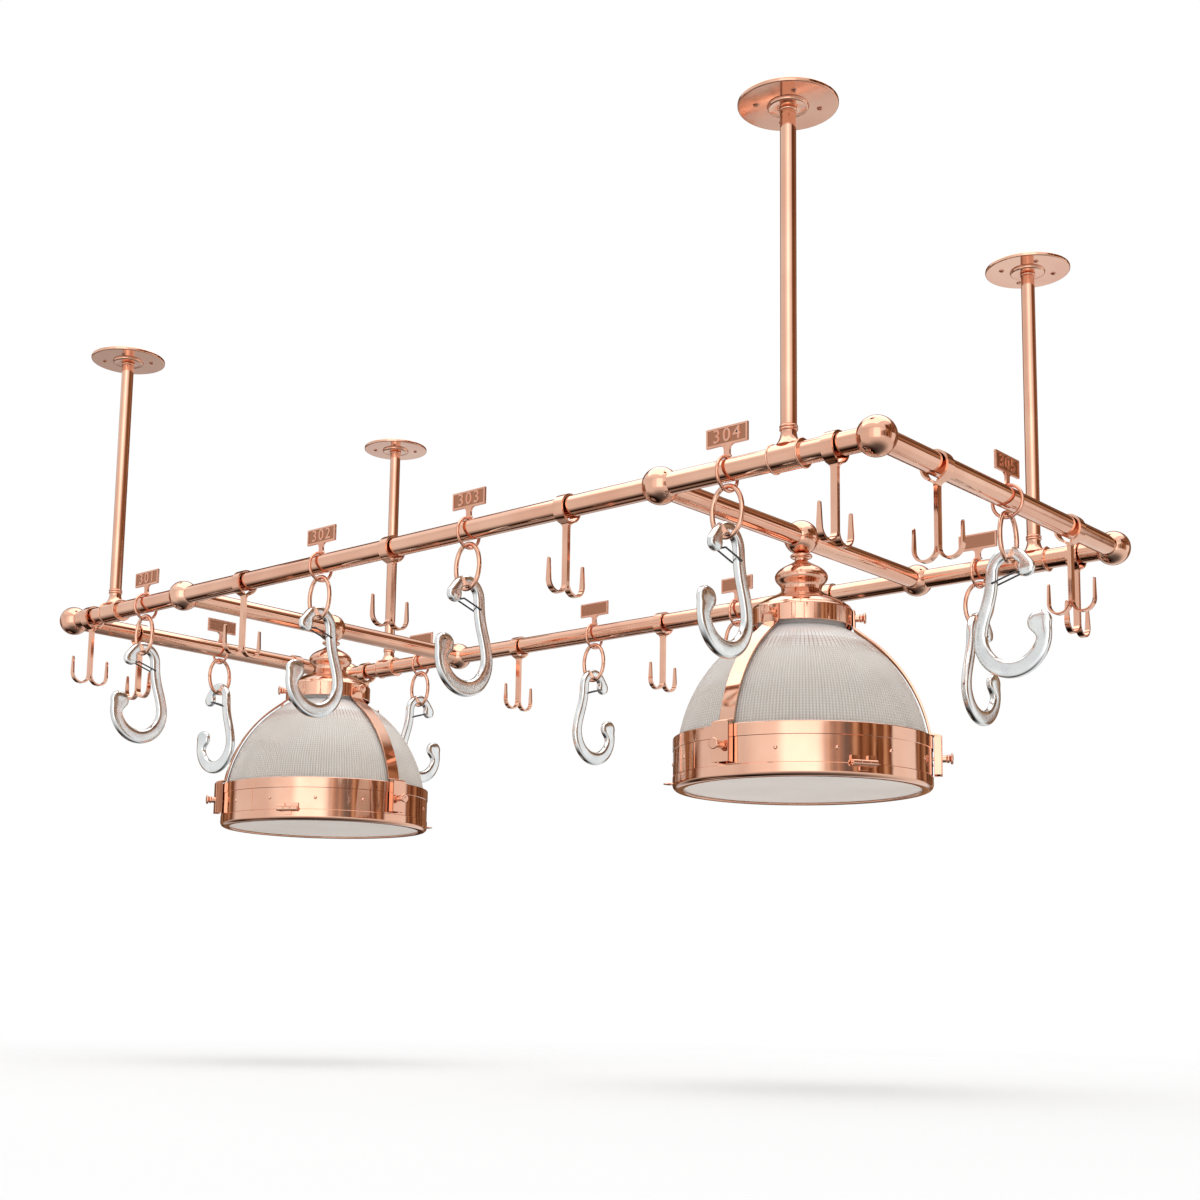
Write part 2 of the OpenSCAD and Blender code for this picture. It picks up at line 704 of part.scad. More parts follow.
// A knuckle beside the band, y along the pin; up = 1 joins the band, -1 the door
module hinge_knuckle(y, z, up) {
    translate([hinge_r, y, z]) rotate([90, 0, 0]) difference() {
        union() {
            cylinder(d = knuckle_d, h = knuckle_l, center = true);
            translate([-knuckle_d / 2 - 2, up > 0 ? 0 : -12, -knuckle_l / 2])
                cube([knuckle_d / 2, 12, knuckle_l]);
        }
        if (up > 0) cylinder(d = hinge_pin_d + 2 * fit, h = 2 * knuckle_l, center = true);
    }
}

// The door: a ring with a rounded lip that carries the lens, its knuckle and two finger pulls
module lamp_door(i) {
    color(copper) at_lamp(i) {
        rotate_extrude() {
            edge = [lamp_r - door_edge_r, door_bottom + door_edge_r];
            translate([lamp_r - ring_wall, edge[1]]) square([ring_wall, door_h - door_edge_r - clear]);
            difference() {
                intersection() {
                    translate(edge) circle(r = door_edge_r);
                    translate(edge - [0, door_edge_r]) square(door_edge_r);
                }
                translate(edge) circle(r = door_edge_r - ring_wall);
            }
            translate([lens_r - door_lip_w, door_bottom]) square([edge[0] - lens_r + door_lip_w + 0.01, ring_wall]);
            translate([lens_r - door_lip_w, door_bottom + ring_wall / 2]) circle(d = ring_wall);
        }
        rotate(hinge_turn) {
            hinge_knuckle(0, seam_z, -1);
            translate([hinge_r, 0, seam_z]) rotate([90, 0, 0])
                cylinder(d = hinge_pin_d, h = 3 * knuckle_l + 4, center = true);
        }
        for (a = pull_turns) rotate(a) translate([lamp_r - 1, 0, seam_z - 6]) {
            rotate([0, 90, 0]) cylinder(d = 4, h = 16);
            translate([8, -6, -1]) cube([9, 12, 2]);
        }
    }
}
lens_r = lamp_r - door_edge_r - 0.5;

module left_lamp_door() { lamp_door(0); }
module right_lamp_door() { lamp_door(1); }

// A frosted glass disc that rests on the door's lip
module lamp_lens(i) {
    color(glass) at_lamp(i) translate([0, 0, door_bottom + ring_wall + clear])
        cylinder(r = lens_r, h = lens_t, $fn = 128);
}

module left_lamp_lens() { lamp_lens(0); }
module right_lamp_lens() { lamp_lens(1); }

long_tubes();
short_tubes();
ball_fittings();
ceiling_plates();
drop_rods();
rod_saddles();
front_double_hooks();
back_double_hooks();
left_double_hooks();
right_double_hooks();
lamp_caps();
glass_domes();
lamp_straps();
thumb_screws();
lamp_bands();
bulbs();
left_lamp_door();
right_lamp_door();
left_lamp_lens();
right_lamp_lens();
for (i = RINGS) {
    ring_holder(i);
    link(i);
    pot_hook(i);
    hook_gate(i);
}
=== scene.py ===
import math

import bpy
from mathutils import Matrix, Vector


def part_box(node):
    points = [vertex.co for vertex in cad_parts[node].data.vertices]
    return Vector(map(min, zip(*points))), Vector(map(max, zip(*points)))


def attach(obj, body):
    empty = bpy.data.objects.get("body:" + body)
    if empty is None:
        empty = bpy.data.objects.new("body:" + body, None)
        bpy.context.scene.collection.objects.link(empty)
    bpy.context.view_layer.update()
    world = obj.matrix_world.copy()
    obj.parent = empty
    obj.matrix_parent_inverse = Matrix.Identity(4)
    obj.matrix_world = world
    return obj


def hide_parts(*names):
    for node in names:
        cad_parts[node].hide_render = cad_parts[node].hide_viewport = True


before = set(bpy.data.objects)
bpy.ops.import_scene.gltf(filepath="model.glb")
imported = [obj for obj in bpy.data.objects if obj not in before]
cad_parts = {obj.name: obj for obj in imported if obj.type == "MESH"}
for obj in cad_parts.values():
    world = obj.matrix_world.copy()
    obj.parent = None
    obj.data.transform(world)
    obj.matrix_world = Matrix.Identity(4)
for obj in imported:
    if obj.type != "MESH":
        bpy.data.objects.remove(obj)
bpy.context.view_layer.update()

MM = 0.001

# ---- Camera ----
# The photograph was taken with a short telephoto lens from in front of the right end, a little
# below the lamps, looking slightly up. The frame is shifted up so that the ceiling plates show.
bpy.ops.object.camera_add(location=(2.0328, -2.1913, -1.2143))
camera = bpy.context.object
aim_round = Matrix.Rotation(math.radians(40.724), 3, "Z")
aim_up = Matrix.Rotation(math.radians(98.367), 3, "X")
tilt = Matrix.Rotation(math.radians(0.795), 3, "Z")
camera.rotation_euler = (aim_round @ aim_up @ tilt).to_euler()
camera.data.lens = 52.18
camera.data.sensor_width = 36
camera.data.shift_y = 0.12
bpy.context.scene.camera = camera


# ---- Floor and studio ----
# A white paper floor under the rack keeps its soft shadow. The room is a white studio with a broad
# ceiling light; brown walls, a dark mat and a tall soft light show in the copper and the steel.
def colour(code):
    """An sRGB hex colour as linear red, green, blue and alpha."""
    parts = [int(code[i:i + 2], 16) / 255 for i in (1, 3, 5)]
    return [p / 12.92 if p <= 0.04045 else ((p + 0.055) / 1.055) ** 2.4 for p in parts] + [1]


def add(tree, kind, settings=None, inputs=None, stops=None):
    """Adds a node with its settings, its socket values or links, and a ramp's stops."""
    node = tree.nodes.new(kind)
    for name, value in (settings or {}).items():
        setattr(node, name, value)
    for socket, value in (inputs or {}).items():
        if isinstance(value, bpy.types.NodeSocket):
            tree.links.new(value, node.inputs[socket])
        else:
            node.inputs[socket].default_value = value
    for place, shade in stops or []:
        element = node.color_ramp.elements.new(place)
        element.color = shade
    if stops:
        node.color_ramp.elements.remove(node.color_ramp.elements[0])
        node.color_ramp.elements.remove(node.color_ramp.elements[-1])
    return node


def grey(value):
    return (value, value, value, 1)


world = bpy.data.worlds.new("white_studio")
bpy.context.scene.world = world
world.use_nodes = True
room = world.node_tree
room.nodes.clear()
ray = add(room, "ShaderNodeLightPath")
aim = add(room, "ShaderNodeTexCoord")
part = add(room, "ShaderNodeSeparateXYZ", inputs={"Vector": aim.outputs["Generated"]})
height = add(room, "ShaderNodeMapRange", inputs={
    "Value": part.outputs["Z"], "From Min": -1, "From Max": 1})
# Shades from straight down, over the horizon at 0.5, to straight up
layers = add(room, "ShaderNodeValToRGB", inputs={"Fac": height.outputs["Result"]}, stops=[
    (0.0, grey(0.1)), (0.06, grey(0.2)), (0.13, grey(0.5)), (0.22, grey(0.85)), (0.5, grey(0.92)),
    (0.75, grey(0.85)), (0.81, grey(1.1)), (0.92, grey(1.15)), (1.0, grey(0.9))])
# The dark floor mat in front of the camera, low down on the left
below = add(room, "ShaderNodeVectorMath", {"operation": "DOT_PRODUCT"}, {
    0: aim.outputs["Generated"], 1: (-0.64, 0.10, -0.76)})
mat = add(room, "ShaderNodeValToRGB", inputs={"Fac": below.outputs["Value"]}, stops=[
    (0.70, grey(1)), (0.79, grey(0.65)), (0.88, colour("#a59a93")), (0.93, colour("#3e2f27")),
    (0.972, colour("#33241c")), (0.985, colour("#b08a6c")), (1.0, colour("#b99478"))])
ground = add(room, "ShaderNodeMix", {"data_type": "RGBA", "blend_type": "MULTIPLY"}, {
    0: 1.0, 6: layers.outputs["Color"], 7: mat.outputs["Color"]})
flat = add(room, "ShaderNodeVectorMath", {"operation": "MULTIPLY"}, {
    0: aim.outputs["Generated"], 1: (1, 1, 0)})
way = add(room, "ShaderNodeVectorMath", {"operation": "NORMALIZE"}, {0: flat.outputs["Vector"]})
# Brown walls on the right and behind, with uprights on them; the open side is front left, and
# higher up it reaches further round
openward = add(room, "ShaderNodeVectorMath", {"operation": "DOT_PRODUCT"}, {
    0: way.outputs["Vector"], 1: (-0.127, -0.991, 0)})
higher = add(room, "ShaderNodeMapRange", inputs={
    "Value": part.outputs["Z"], "From Min": 0.16, "From Max": 0.34, "To Min": 0, "To Max": 0.5})
opening = add(room, "ShaderNodeMath", inputs={
    0: openward.outputs["Value"], 1: higher.outputs["Result"]})
walled = add(room, "ShaderNodeMapRange", {"interpolation_type": "SMOOTHSTEP"}, {
    "Value": opening.outputs["Value"], "From Min": 0.40, "From Max": 0.56, "To Min": 1, "To Max": 0})
wall_up = add(room, "ShaderNodeValToRGB", inputs={"Fac": height.outputs["Result"]}, stops=[
    (0.36, grey(0)), (0.42, grey(1)), (0.83, grey(1)), (0.87, grey(0))])
wall_part = add(room, "ShaderNodeMath", {"operation": "MULTIPLY"}, {
    0: walled.outputs["Result"], 1: wall_up.outputs["Color"]})
thin = add(room, "ShaderNodeVectorMath", {"operation": "MULTIPLY"}, {
    0: aim.outputs["Generated"], 1: (9, 9, 0.8)})
posts = add(room, "ShaderNodeTexNoise", inputs={
    "Vector": thin.outputs["Vector"], "Scale": 1, "Detail": 3})
boards = add(room, "ShaderNodeValToRGB", inputs={"Fac": posts.outputs["Fac"]}, stops=[
    (0.34, colour("#2c1a11")), (0.45, colour("#6e4a32")),
    (0.56, colour("#9a7152")), (0.68, colour("#d2b292"))])
# A low doorway between the walls, straight behind on the right
doorward = add(room, "ShaderNodeVectorMath", {"operation": "DOT_PRODUCT"}, {
    0: way.outputs["Vector"], 1: (0.707, 0.707, 0)})
doorway = add(room, "ShaderNodeMapRange", {"interpolation_type": "SMOOTHSTEP"}, {
    "Value": doorward.outputs["Value"], "From Min": 0.950, "From Max": 0.968})
lintel = add(room, "ShaderNodeMapRange", inputs={
    "Value": part.outputs["Z"], "From Min": 0.21, "From Max": 0.24, "To Min": 1, "To Max": 0})
way_out = add(room, "ShaderNodeMath", {"operation": "MULTIPLY"}, {
    0: doorway.outputs["Result"], 1: lintel.outputs["Result"]})
wall = add(room, "ShaderNodeMix", {"data_type": "RGBA"}, {
    0: way_out.outputs["Value"], 6: boards.outputs["Color"], 7: grey(1.0)})
rooms = add(room, "ShaderNodeMix", {"data_type": "RGBA"}, {
    0: wall_part.outputs["Value"], 6: ground.outputs[2], 7: wall.outputs[2]})
# A tall soft light just to the left of the camera
frontward = add(room, "ShaderNodeVectorMath", {"operation": "DOT_PRODUCT"}, {
    0: way.outputs["Vector"], 1: (0.541, -0.842, 0)})
soft_box = add(room, "ShaderNodeValToRGB", inputs={"Fac": frontward.outputs["Value"]}, stops=[
    (0.64, grey(0)), (0.80, grey(0.22)), (0.935, grey(0.32)), (0.975, grey(1))])
soft_up = add(room, "ShaderNodeValToRGB", inputs={"Fac": height.outputs["Result"]}, stops=[
    (0.28, grey(0)), (0.35, grey(1)), (0.72, grey(1)), (0.78, grey(0))])
soft_glow = add(room, "ShaderNodeMath", {"operation": "MULTIPLY"}, {
    0: soft_box.outputs["Color"], 1: soft_up.outputs["Color"]})
studio = add(room, "ShaderNodeMix", {"data_type": "RGBA", "blend_type": "ADD"}, {
    0: 1.0, 6: rooms.outputs[2], 7: soft_glow.outputs["Value"]})
# What surfaces that don't mirror the room get from it
AMBIENT = 0.93
seen = add(room, "ShaderNodeMix", {"data_type": "RGBA"}, {
    0: ray.outputs["Is Glossy Ray"], 6: grey(AMBIENT), 7: studio.outputs[2]})
white_ray = add(room, "ShaderNodeMath", {"operation": "MAXIMUM"}, {
    0: ray.outputs["Is Camera Ray"], 1: ray.outputs["Is Transmission Ray"]})
white = add(room, "ShaderNodeMix", {"data_type": "RGBA"}, {
    0: white_ray.outputs["Value"], 6: seen.outputs[2], 7: grey(1.0)})
light = add(room, "ShaderNodeBackground", inputs={"Color": white.outputs[2], "Strength": 1})
add(room, "ShaderNodeOutputWorld", inputs={"Surface": light.outputs["Background"]})

bpy.ops.object.light_add(type="AREA", location=(0, 0, 2.4))
ceiling_light = bpy.context.object
ceiling_light.name = "ceiling_light"
ceiling_light.data.size = 4.5
ceiling_light.data.energy = 70

FLOOR_Z = -1340 * MM
FADE_FROM, FADE_TO = 1.3, 2.4
bpy.ops.object.select_all(action="DESELECT")
bpy.ops.mesh.primitive_plane_add(size=400, location=(0, 0, FLOOR_Z))
floor = bpy.context.object
floor.name = "studio_floor"
floor.visible_glossy = False
floor.visible_transmission = False
paper = bpy.data.materials.new("white_paper")
paper.use_nodes = True
sheet = paper.node_tree
sheet.nodes.clear()
matt = add(sheet, "ShaderNodeBsdfDiffuse", inputs={"Color": colour("#e9e9e9")})
seen_by = add(sheet, "ShaderNodeLightPath")
# Some way off from the rack, in metres, the paper runs into the white backdrop
on_floor = add(sheet, "ShaderNodeTexCoord")
far_off = add(sheet, "ShaderNodeVectorMath", {"operation": "LENGTH"}, {
    0: on_floor.outputs["Object"]})
fade = add(sheet, "ShaderNodeMapRange", {"interpolation_type": "SMOOTHSTEP"}, {
    "Value": far_off.outputs["Value"], "From Min": FADE_FROM, "From Max": FADE_TO})
white_out = add(sheet, "ShaderNodeEmission", inputs={"Color": grey(1), "Strength": 1.0})
faded = add(sheet, "ShaderNodeMixShader", inputs={
    0: fade.outputs["Result"], 1: matt.outputs[0], 2: white_out.outputs[0]})
shown = add(sheet, "ShaderNodeMixShader", inputs={
    0: seen_by.outputs["Is Camera Ray"], 1: matt.outputs[0], 2: faded.outputs[0]})
add(sheet, "ShaderNodeOutputMaterial", inputs={"Surface": shown.outputs[0]})
floor.data.materials.append(paper)
bpy.context.scene.view_settings.view_transform = "Standard"


# ---- Rails and crossbars ----
# Round tube, plated with copper and polished bright under clear lacquer, cut square and pushed into
# the ball fittings. A hand polish leaves long shallow waves, and handling leaves faint smudges.
def finish(name, size, detail, *shades):
    """A material whose colour drifts between shades over a size in mm: the material, its node tree,
    its coordinates, the drift and the colour."""
    made = bpy.data.materials.new(name)
    made.use_nodes = True
    tree = made.node_tree
    tree.nodes.clear()
    spot = add(tree, "ShaderNodeTexCoord")
    drift = add(tree, "ShaderNodeTexNoise", inputs={
        "Vector": spot.outputs["Object"], "Scale": 1 / (size * MM), "Detail": detail})
    tint = add(tree, "ShaderNodeValToRGB", inputs={"Fac": drift.outputs["Fac"]}, stops=[
        (place, colour(shade)) for place, shade in shades]) if shades else None
    return made, tree, spot, drift, tint


# Copper plate under lacquer: a warm mirror, a little paler where the plate is thin
polished_copper, tree, spot, drift, tint = finish(
    "polished_copper", 90, 3, (0.35, "#e3ab90"), (0.65, "#ecba9f"))
smudge = add(tree, "ShaderNodeTexNoise", inputs={
    "Vector": spot.outputs["Object"], "Scale": 1 / (22 * MM), "Detail": 5})
haze = add(tree, "ShaderNodeMapRange", inputs={
    "Value": smudge.outputs["Fac"], "From Min": 0.3, "From Max": 0.75, "To Min": 0.05, "To Max": 0.12})
wave = add(tree, "ShaderNodeTexNoise", inputs={
    "Vector": spot.outputs["Object"], "Scale": 1 / (38 * MM), "Detail": 2})
ripple = add(tree, "ShaderNodeBump", inputs={
    "Height": wave.outputs["Fac"], "Strength": 0.2, "Distance": 0.5 * MM})
skin = add(tree, "ShaderNodeBsdfPrincipled", inputs={
    "Base Color": tint.outputs["Color"], "Metallic": 1.0, "Roughness": haze.outputs["Result"],
    "Normal": ripple.outputs["Normal"], "Coat Weight": 0.5, "Coat Roughness": 0.03})
add(tree, "ShaderNodeOutputMaterial", inputs={"Surface": skin.outputs[0]})


def only(piece):
    """Selects one piece alone and makes it the active one."""
    bpy.ops.object.select_all(action="DESELECT")
    piece.select_set(True)
    bpy.context.view_layer.objects.active = piece


def face_out():
    """Turns every face of the piece outward and leaves edit mode."""
    bpy.ops.mesh.select_all(action="SELECT")
    bpy.ops.mesh.normals_make_consistent(inside=False)
    bpy.ops.object.mode_set(mode="OBJECT")


# Points on the axis are kept this far off it while a profile grows, and then merged
AXIS_R, MERGE = 0.01, 0.05


def start(name, primitive, **settings):
    """Adds a primitive with its settings, alone selected, under a name."""
    bpy.ops.object.select_all(action="DESELECT")
    primitive(**settings)
    bpy.context.object.name = name
    return bpy.context.object


def turned(name, profile, count=64, shut=False):
    """Turns a profile of (radius, height) points in mm about Z. shut joins its last ring to the first."""
    radius, z = profile[0]
    radius = max(radius, AXIS_R)
    piece = start(name, bpy.ops.mesh.primitive_circle_add, vertices=count, radius=radius * MM,
                  location=(0, 0, z * MM))
    bpy.ops.object.transform_apply()
    bpy.ops.object.mode_set(mode="EDIT")
    bpy.ops.mesh.select_all(action="SELECT")
    for new_radius, new_z in profile[1:]:
        new_radius = max(new_radius, AXIS_R)
        grow = new_radius / radius
        bpy.ops.mesh.extrude_region_move(TRANSFORM_OT_translate={"value": (0, 0, (new_z - z) * MM)})
        bpy.ops.transform.resize(value=(grow, grow, 1), center_override=(0, 0, new_z * MM))
        radius, z = new_radius, new_z
    bpy.ops.mesh.select_all(action="SELECT")
    bpy.ops.mesh.remove_doubles(threshold=MERGE * MM)
    if not shut:
        bpy.ops.mesh.select_all(action="DESELECT")
        bpy.ops.mesh.select_mode(type="EDGE")
        bpy.ops.mesh.select_non_manifold(extend=False, use_wire=False, use_multi_face=False,
                                         use_non_contiguous=False, use_verts=False)
        bpy.ops.mesh.fill_holes(sides=0)
        bpy.ops.mesh.select_mode(type="VERT")
    face_out()
    return piece


def change(piece, kind, **settings):
    """Adds a modifier with its settings to a piece and applies it."""
    only(piece)
    step = piece.modifiers.new("step", kind)
    for name, value in settings.items():
        setattr(step, name, value)
    bpy.ops.object.modifier_apply(modifier="step")


def smooth(piece, angle=35):
    """Shades a piece smooth, apart from its edges that are sharper than an angle."""
    only(piece)
    bpy.ops.object.shade_smooth_by_angle(angle=math.radians(angle))
    change(piece, "WEIGHTED_NORMAL", keep_sharp=True)


def put(piece, name, place=(0, 0, 0), turn=0, lean=None):
    """A copy with its own mesh, turned about Z in degrees and moved, with its place in the mesh."""
    one = piece.copy()
    one.data = piece.data.copy()
    one.name = name
    bpy.context.scene.collection.objects.link(one)
    round_z = Matrix.Rotation(math.radians(turn), 4, "Z")
    one.matrix_world = Matrix.Translation(place) @ round_z @ (lean or Matrix())
    only(one)
    bpy.ops.object.transform_apply()
    return one


def remove(*models):
    """Removes models whose copies are in place."""
    for model in models:
        bpy.data.objects.remove(model)


def join(pieces, name):
    """Joins pieces into one of that name."""
    bpy.ops.object.select_all(action="DESELECT")
    for piece in pieces:
        piece.select_set(True)
    bpy.context.view_layer.objects.active = pieces[0]
    bpy.ops.object.join()
    pieces[0].name = name
    pieces[0].data.name = name
    return pieces[0]


def set_out(model, spots, name, lean=None):
    """Copies a model to each (place, turn), joins the copies under a name and removes the model."""
    copies = [put(model, "copy", place, turn, lean) for place, turn in spots]
    remove(model)
    return join(copies, name)


def dress(piece, material, body, slot, *nodes):
    """Gives a finished piece its material, its body and the nodes that it stands for; the slot is not
    used.
    """
    piece.data.materials.clear()
    piece.data.materials.append(material)
    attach(piece, body)
    if nodes:
        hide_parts(*nodes)


def around(centre, radius, angle):
    """The point at an angle in degrees on a circle."""
    a = math.radians(angle)
    return centre[0] + radius * math.cos(a), centre[1] + radius * math.sin(a)


def arc(centre, radius, start, end, steps=8):
    """Points on an arc, from one angle in degrees to another."""
    return [around(centre, radius, start + (end - start) * k / steps) for k in range(steps + 1)]


def curve(p, q, s, t, steps=8):
    """Points on a cubic curve from p to t, led by q and s."""
    shares = [(1 - u, u) for u in (k / steps for k in range(steps + 1))]
    return [tuple(v**3 * a + 3 * v * v * u * b + 3 * v * u * u * c + u**3 * d
                  for a, b, c, d in zip(p, q, s, t)) for v, u in shares]


def block(name, low, high, edge=0.4):
    """A solid block between two corners in mm, with eased edges."""
    middle = [(a + b) / 2 * MM for a, b in zip(low, high)]
    made = start(name, bpy.ops.mesh.primitive_cube_add, size=1, location=middle)
    made.scale = [(b - a) * MM for a, b in zip(low, high)]
    bpy.ops.object.transform_apply()
    change(made, "BEVEL", width=edge * MM, segments=2)
    smooth(made, 40)
    return made


def cut(piece, tool):
    """Cuts the tool's shape out of a piece and removes the tool."""
    change(piece, "BOOLEAN", object=tool, operation="DIFFERENCE", solver="EXACT")
    remove(tool)


ON_X = Matrix.Rotation(math.radians(90), 4, "Y")
ON_Y = Matrix.Rotation(math.radians(-90), 4, "X")
long_low, long_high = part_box("long_tubes")
short_low, short_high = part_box("short_tubes")
TUBE_R = (long_high.z - long_low.z) / 2 / MM
TUBE_WALL, TUBE_EASE = 1.6, 0.4
RAIL_Z = (long_high.z + long_low.z) / 2
HALF_W = long_high.y - TUBE_R * MM
HALF_L = short_high.x - TUBE_R * MM
lens_low, lens_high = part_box("right_lamp_lens")
CROSSBAR_X = (lens_low.x + lens_high.x) / 2
TUBE_INSET = HALF_L - long_high.x


def tube(name, length):
    """A tube of that length in metres, along Z and centred, with a small chamfer at its ends."""
    half = length / 2 / MM
    bore = TUBE_R - TUBE_WALL
    eased = TUBE_R - TUBE_EASE
    made = turned(name, [
        (TUBE_R, -half + TUBE_EASE), (TUBE_R, half - TUBE_EASE), (eased, half), (bore, half),
        (bore, -half), (eased, -half), (TUBE_R, -half + TUBE_EASE)], 72, shut=True)
    smooth(made)
    return made


BAR_XS = (-HALF_L, -CROSSBAR_X, CROSSBAR_X, HALF_L)
runs = []
for left, right in zip(BAR_XS, BAR_XS[1:]):
    model = tube("run", right - left - 2 * TUBE_INSET)
    for y in (-HALF_W, HALF_W):
        runs.append(put(model, "run", ((left + right) / 2, y, RAIL_Z), lean=ON_X))
    remove(model)
dress(join(runs, "long_rails"), polished_copper, "frame", "copper", "long_tubes")
bars = set_out(tube("bar", 2 * (HALF_W - TUBE_INSET)), [((x, 0, RAIL_Z), 0) for x in BAR_XS],
               "end_rails_and_crossbars", ON_Y)
dress(bars, polished_copper, "frame", "copper", "short_tubes")


# ---- Ball fittings ----
# Balls turned from copper-plated brass and polished, with a socket for each tube. The corner
# balls join two tubes, the tee balls three, and the balls in the crossbars' middles carry the lamps.
BALL_R = 27
model = turned("ball", arc((0, 0), BALL_R, -90, 90, 48), 96)
smooth(model, 60)
places = [(x, y) for x in BAR_XS for y in (-HALF_W, HALF_W)]
places += [(-CROSSBAR_X, 0), (CROSSBAR_X, 0)]
balls = set_out(model, [((x, y, RAIL_Z), 0) for x, y in places], "ball_fitting_set")
dress(balls, polished_copper, "frame", "copper", "ball_fittings")


# ---- Ceiling plates, beads and rods ----
# A round plate with an eased edge, screwed to the ceiling by four slotted screws, with a raised
# boss and a turned bead. The rod is a slimmer bar that screws onto the plate's stud.
plates_low, plates_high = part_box("ceiling_plates")
PLATE_R, PLATE_T = 69, 6
ROD_X = plates_high.x - PLATE_R * MM
ROD_R = 11
BEAD_R, BEAD_H = 12.5, 4
BOSS_R, BOSS_H = 28.5, 4
SCREW_CIRCLE_R, SCREW_HEAD_R, SLOT_W = 44, 4.6, 1.3
SCREW_FROM = 45
SLOT_FROM, SLOT_STEP = 40, 65
rods_low, rods_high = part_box("drop_rods")
ROD_TOP = rods_high.z / MM
ROD_END = rods_low.z / MM
at_rods = [(x, y, 0) for x in (-ROD_X, ROD_X) for y in (-HALF_W, HALF_W)]
rim = PLATE_R - 0.2
plate = turned("plate", [
    (0, -0.01), (rim - 1.2, -0.01), *arc((rim - 1.5, -1.5), 1.5, 90, 0, 4),
    *arc((rim - 2, -PLATE_T + 2), 2, 0, -90, 6), (BOSS_R + 0.4, -PLATE_T), (BOSS_R, -PLATE_T - 0.5),
    *arc((BOSS_R - 3, -PLATE_T - 0.8), 3, 0, -90, 8), (BOSS_R - 5, -PLATE_T - 3.4),
    (BEAD_R + 4, -PLATE_T - 3.0), (BEAD_R - 2, -PLATE_T - BOSS_H),
    *arc((BEAD_R - 2, ROD_TOP + BEAD_H / 2), BEAD_H / 2, 70, -90, 8), (0, ROD_TOP)], 128)
smooth(plate)
# Slotted screws with raised heads
screw = turned("plate_screw", [
    (0, -PLATE_T + 1), (SCREW_HEAD_R, -PLATE_T + 1), (SCREW_HEAD_R, -PLATE_T - 0.3),
    *arc((0, -PLATE_T + 3.8), 6.2, -42, -90, 8)], 32)
cut(screw, block("slot", (-8, -SLOT_W / 2, -PLATE_T - 4), (8, SLOT_W / 2, -PLATE_T - 1.0), 0.1))
smooth(screw)
plates = [put(plate, "plate", place) for place in at_rods]
for x, y, z in at_rods:
    for k in range(4):
        place = (*around((x, y), SCREW_CIRCLE_R * MM, SCREW_FROM + 90 * k), z)
        plates.append(put(screw, "plate_screw", place, SLOT_FROM + SLOT_STEP * k))
remove(plate, screw)
dress(join(plates, "ceiling_plate_set"), polished_copper, "frame", "copper", "ceiling_plates")

ROD_EASE = 0.6
rod = turned("rod", [
    (0, ROD_END), (ROD_R - ROD_EASE, ROD_END), (ROD_R, ROD_END + ROD_EASE),
    (ROD_R, ROD_TOP - ROD_EASE), (ROD_R - ROD_EASE, ROD_TOP), (0, ROD_TOP)], 72)
smooth(rod)
rods = set_out(rod, [(place, 0) for place in at_rods], "drop_rod_set")
dress(rods, polished_copper, "frame", "copper", "drop_rods")


# ---- Rod saddles ----
# A cast sleeve clamps the rail, with a rolled lip at each end and a turned, waisted neck with two
# beads that screws into the rod.
SLEEVE_R, SLEEVE_L = TUBE_R + 3.4, 50
half = SLEEVE_L / 2
sleeve = turned("sleeve", [
    (TUBE_R + 0.1, -half), (SLEEVE_R - 1, -half), *arc((SLEEVE_R, -half + 1.5), 1.5, -90, 90, 10),
    (SLEEVE_R - 0.2, -half + 4), (SLEEVE_R - 0.2, half - 4),
    *arc((SLEEVE_R, half - 1.5), 1.5, -90, 90, 10), (SLEEVE_R - 1, half),
    (TUBE_R + 0.1, half), (TUBE_R + 0.1, -half)], 96, shut=True)
neck_top = ROD_END - RAIL_Z / MM
neck = turned("neck", [
    (0, SLEEVE_R - 5), (17, SLEEVE_R - 5), *curve((16.5, SLEEVE_R - 3), (12.5, SLEEVE_R + 2),
                                                  (11, SLEEVE_R + 8), (10.5, neck_top - 2 * BEAD_H)),
    *arc((10.5, neck_top - 1.5 * BEAD_H), BEAD_H / 2, -80, 80, 8),
    *arc((10.5, neck_top - 0.5 * BEAD_H), BEAD_H / 2, -80, 80, 8), (0, neck_top)], 64)
sleeve_lain = put(sleeve, "sleeve_lain", lean=ON_X)
remove(sleeve)
smooth(sleeve_lain)
smooth(neck)
saddles = []
for x, y, z in at_rods:
    saddles.append(put(sleeve_lain, "saddle", (x, y, RAIL_Z)))
    saddles.append(put(neck, "saddle", (x, y, RAIL_Z)))
remove(sleeve_lain, neck)
dress(join(saddles, "rod_saddle_set"), polished_copper, "frame", "copper", "rod_saddles")


# ---- Double hooks ----
# Two lengths of flat copper strap: each runs over the rail, is pinched to the other in the stem,
# and turns up in a bowl with a narrowing prong. They hang loose, so that they can be slid along.
STRAP_T = 3.2
BAND_W, STEM_W, TIP_W = 18, 10.5, 5
BOWL_END_W = 8.5
BAND_R = 22 - STRAP_T / 2
BAND_Z = TUBE_R + 0.3 + STRAP_T / 2 - BAND_R
BOWL_R = 16 + STRAP_T / 2
BOWL_Z = STRAP_T / 2 + BOWL_R - 132
PRONG_TOP = -82


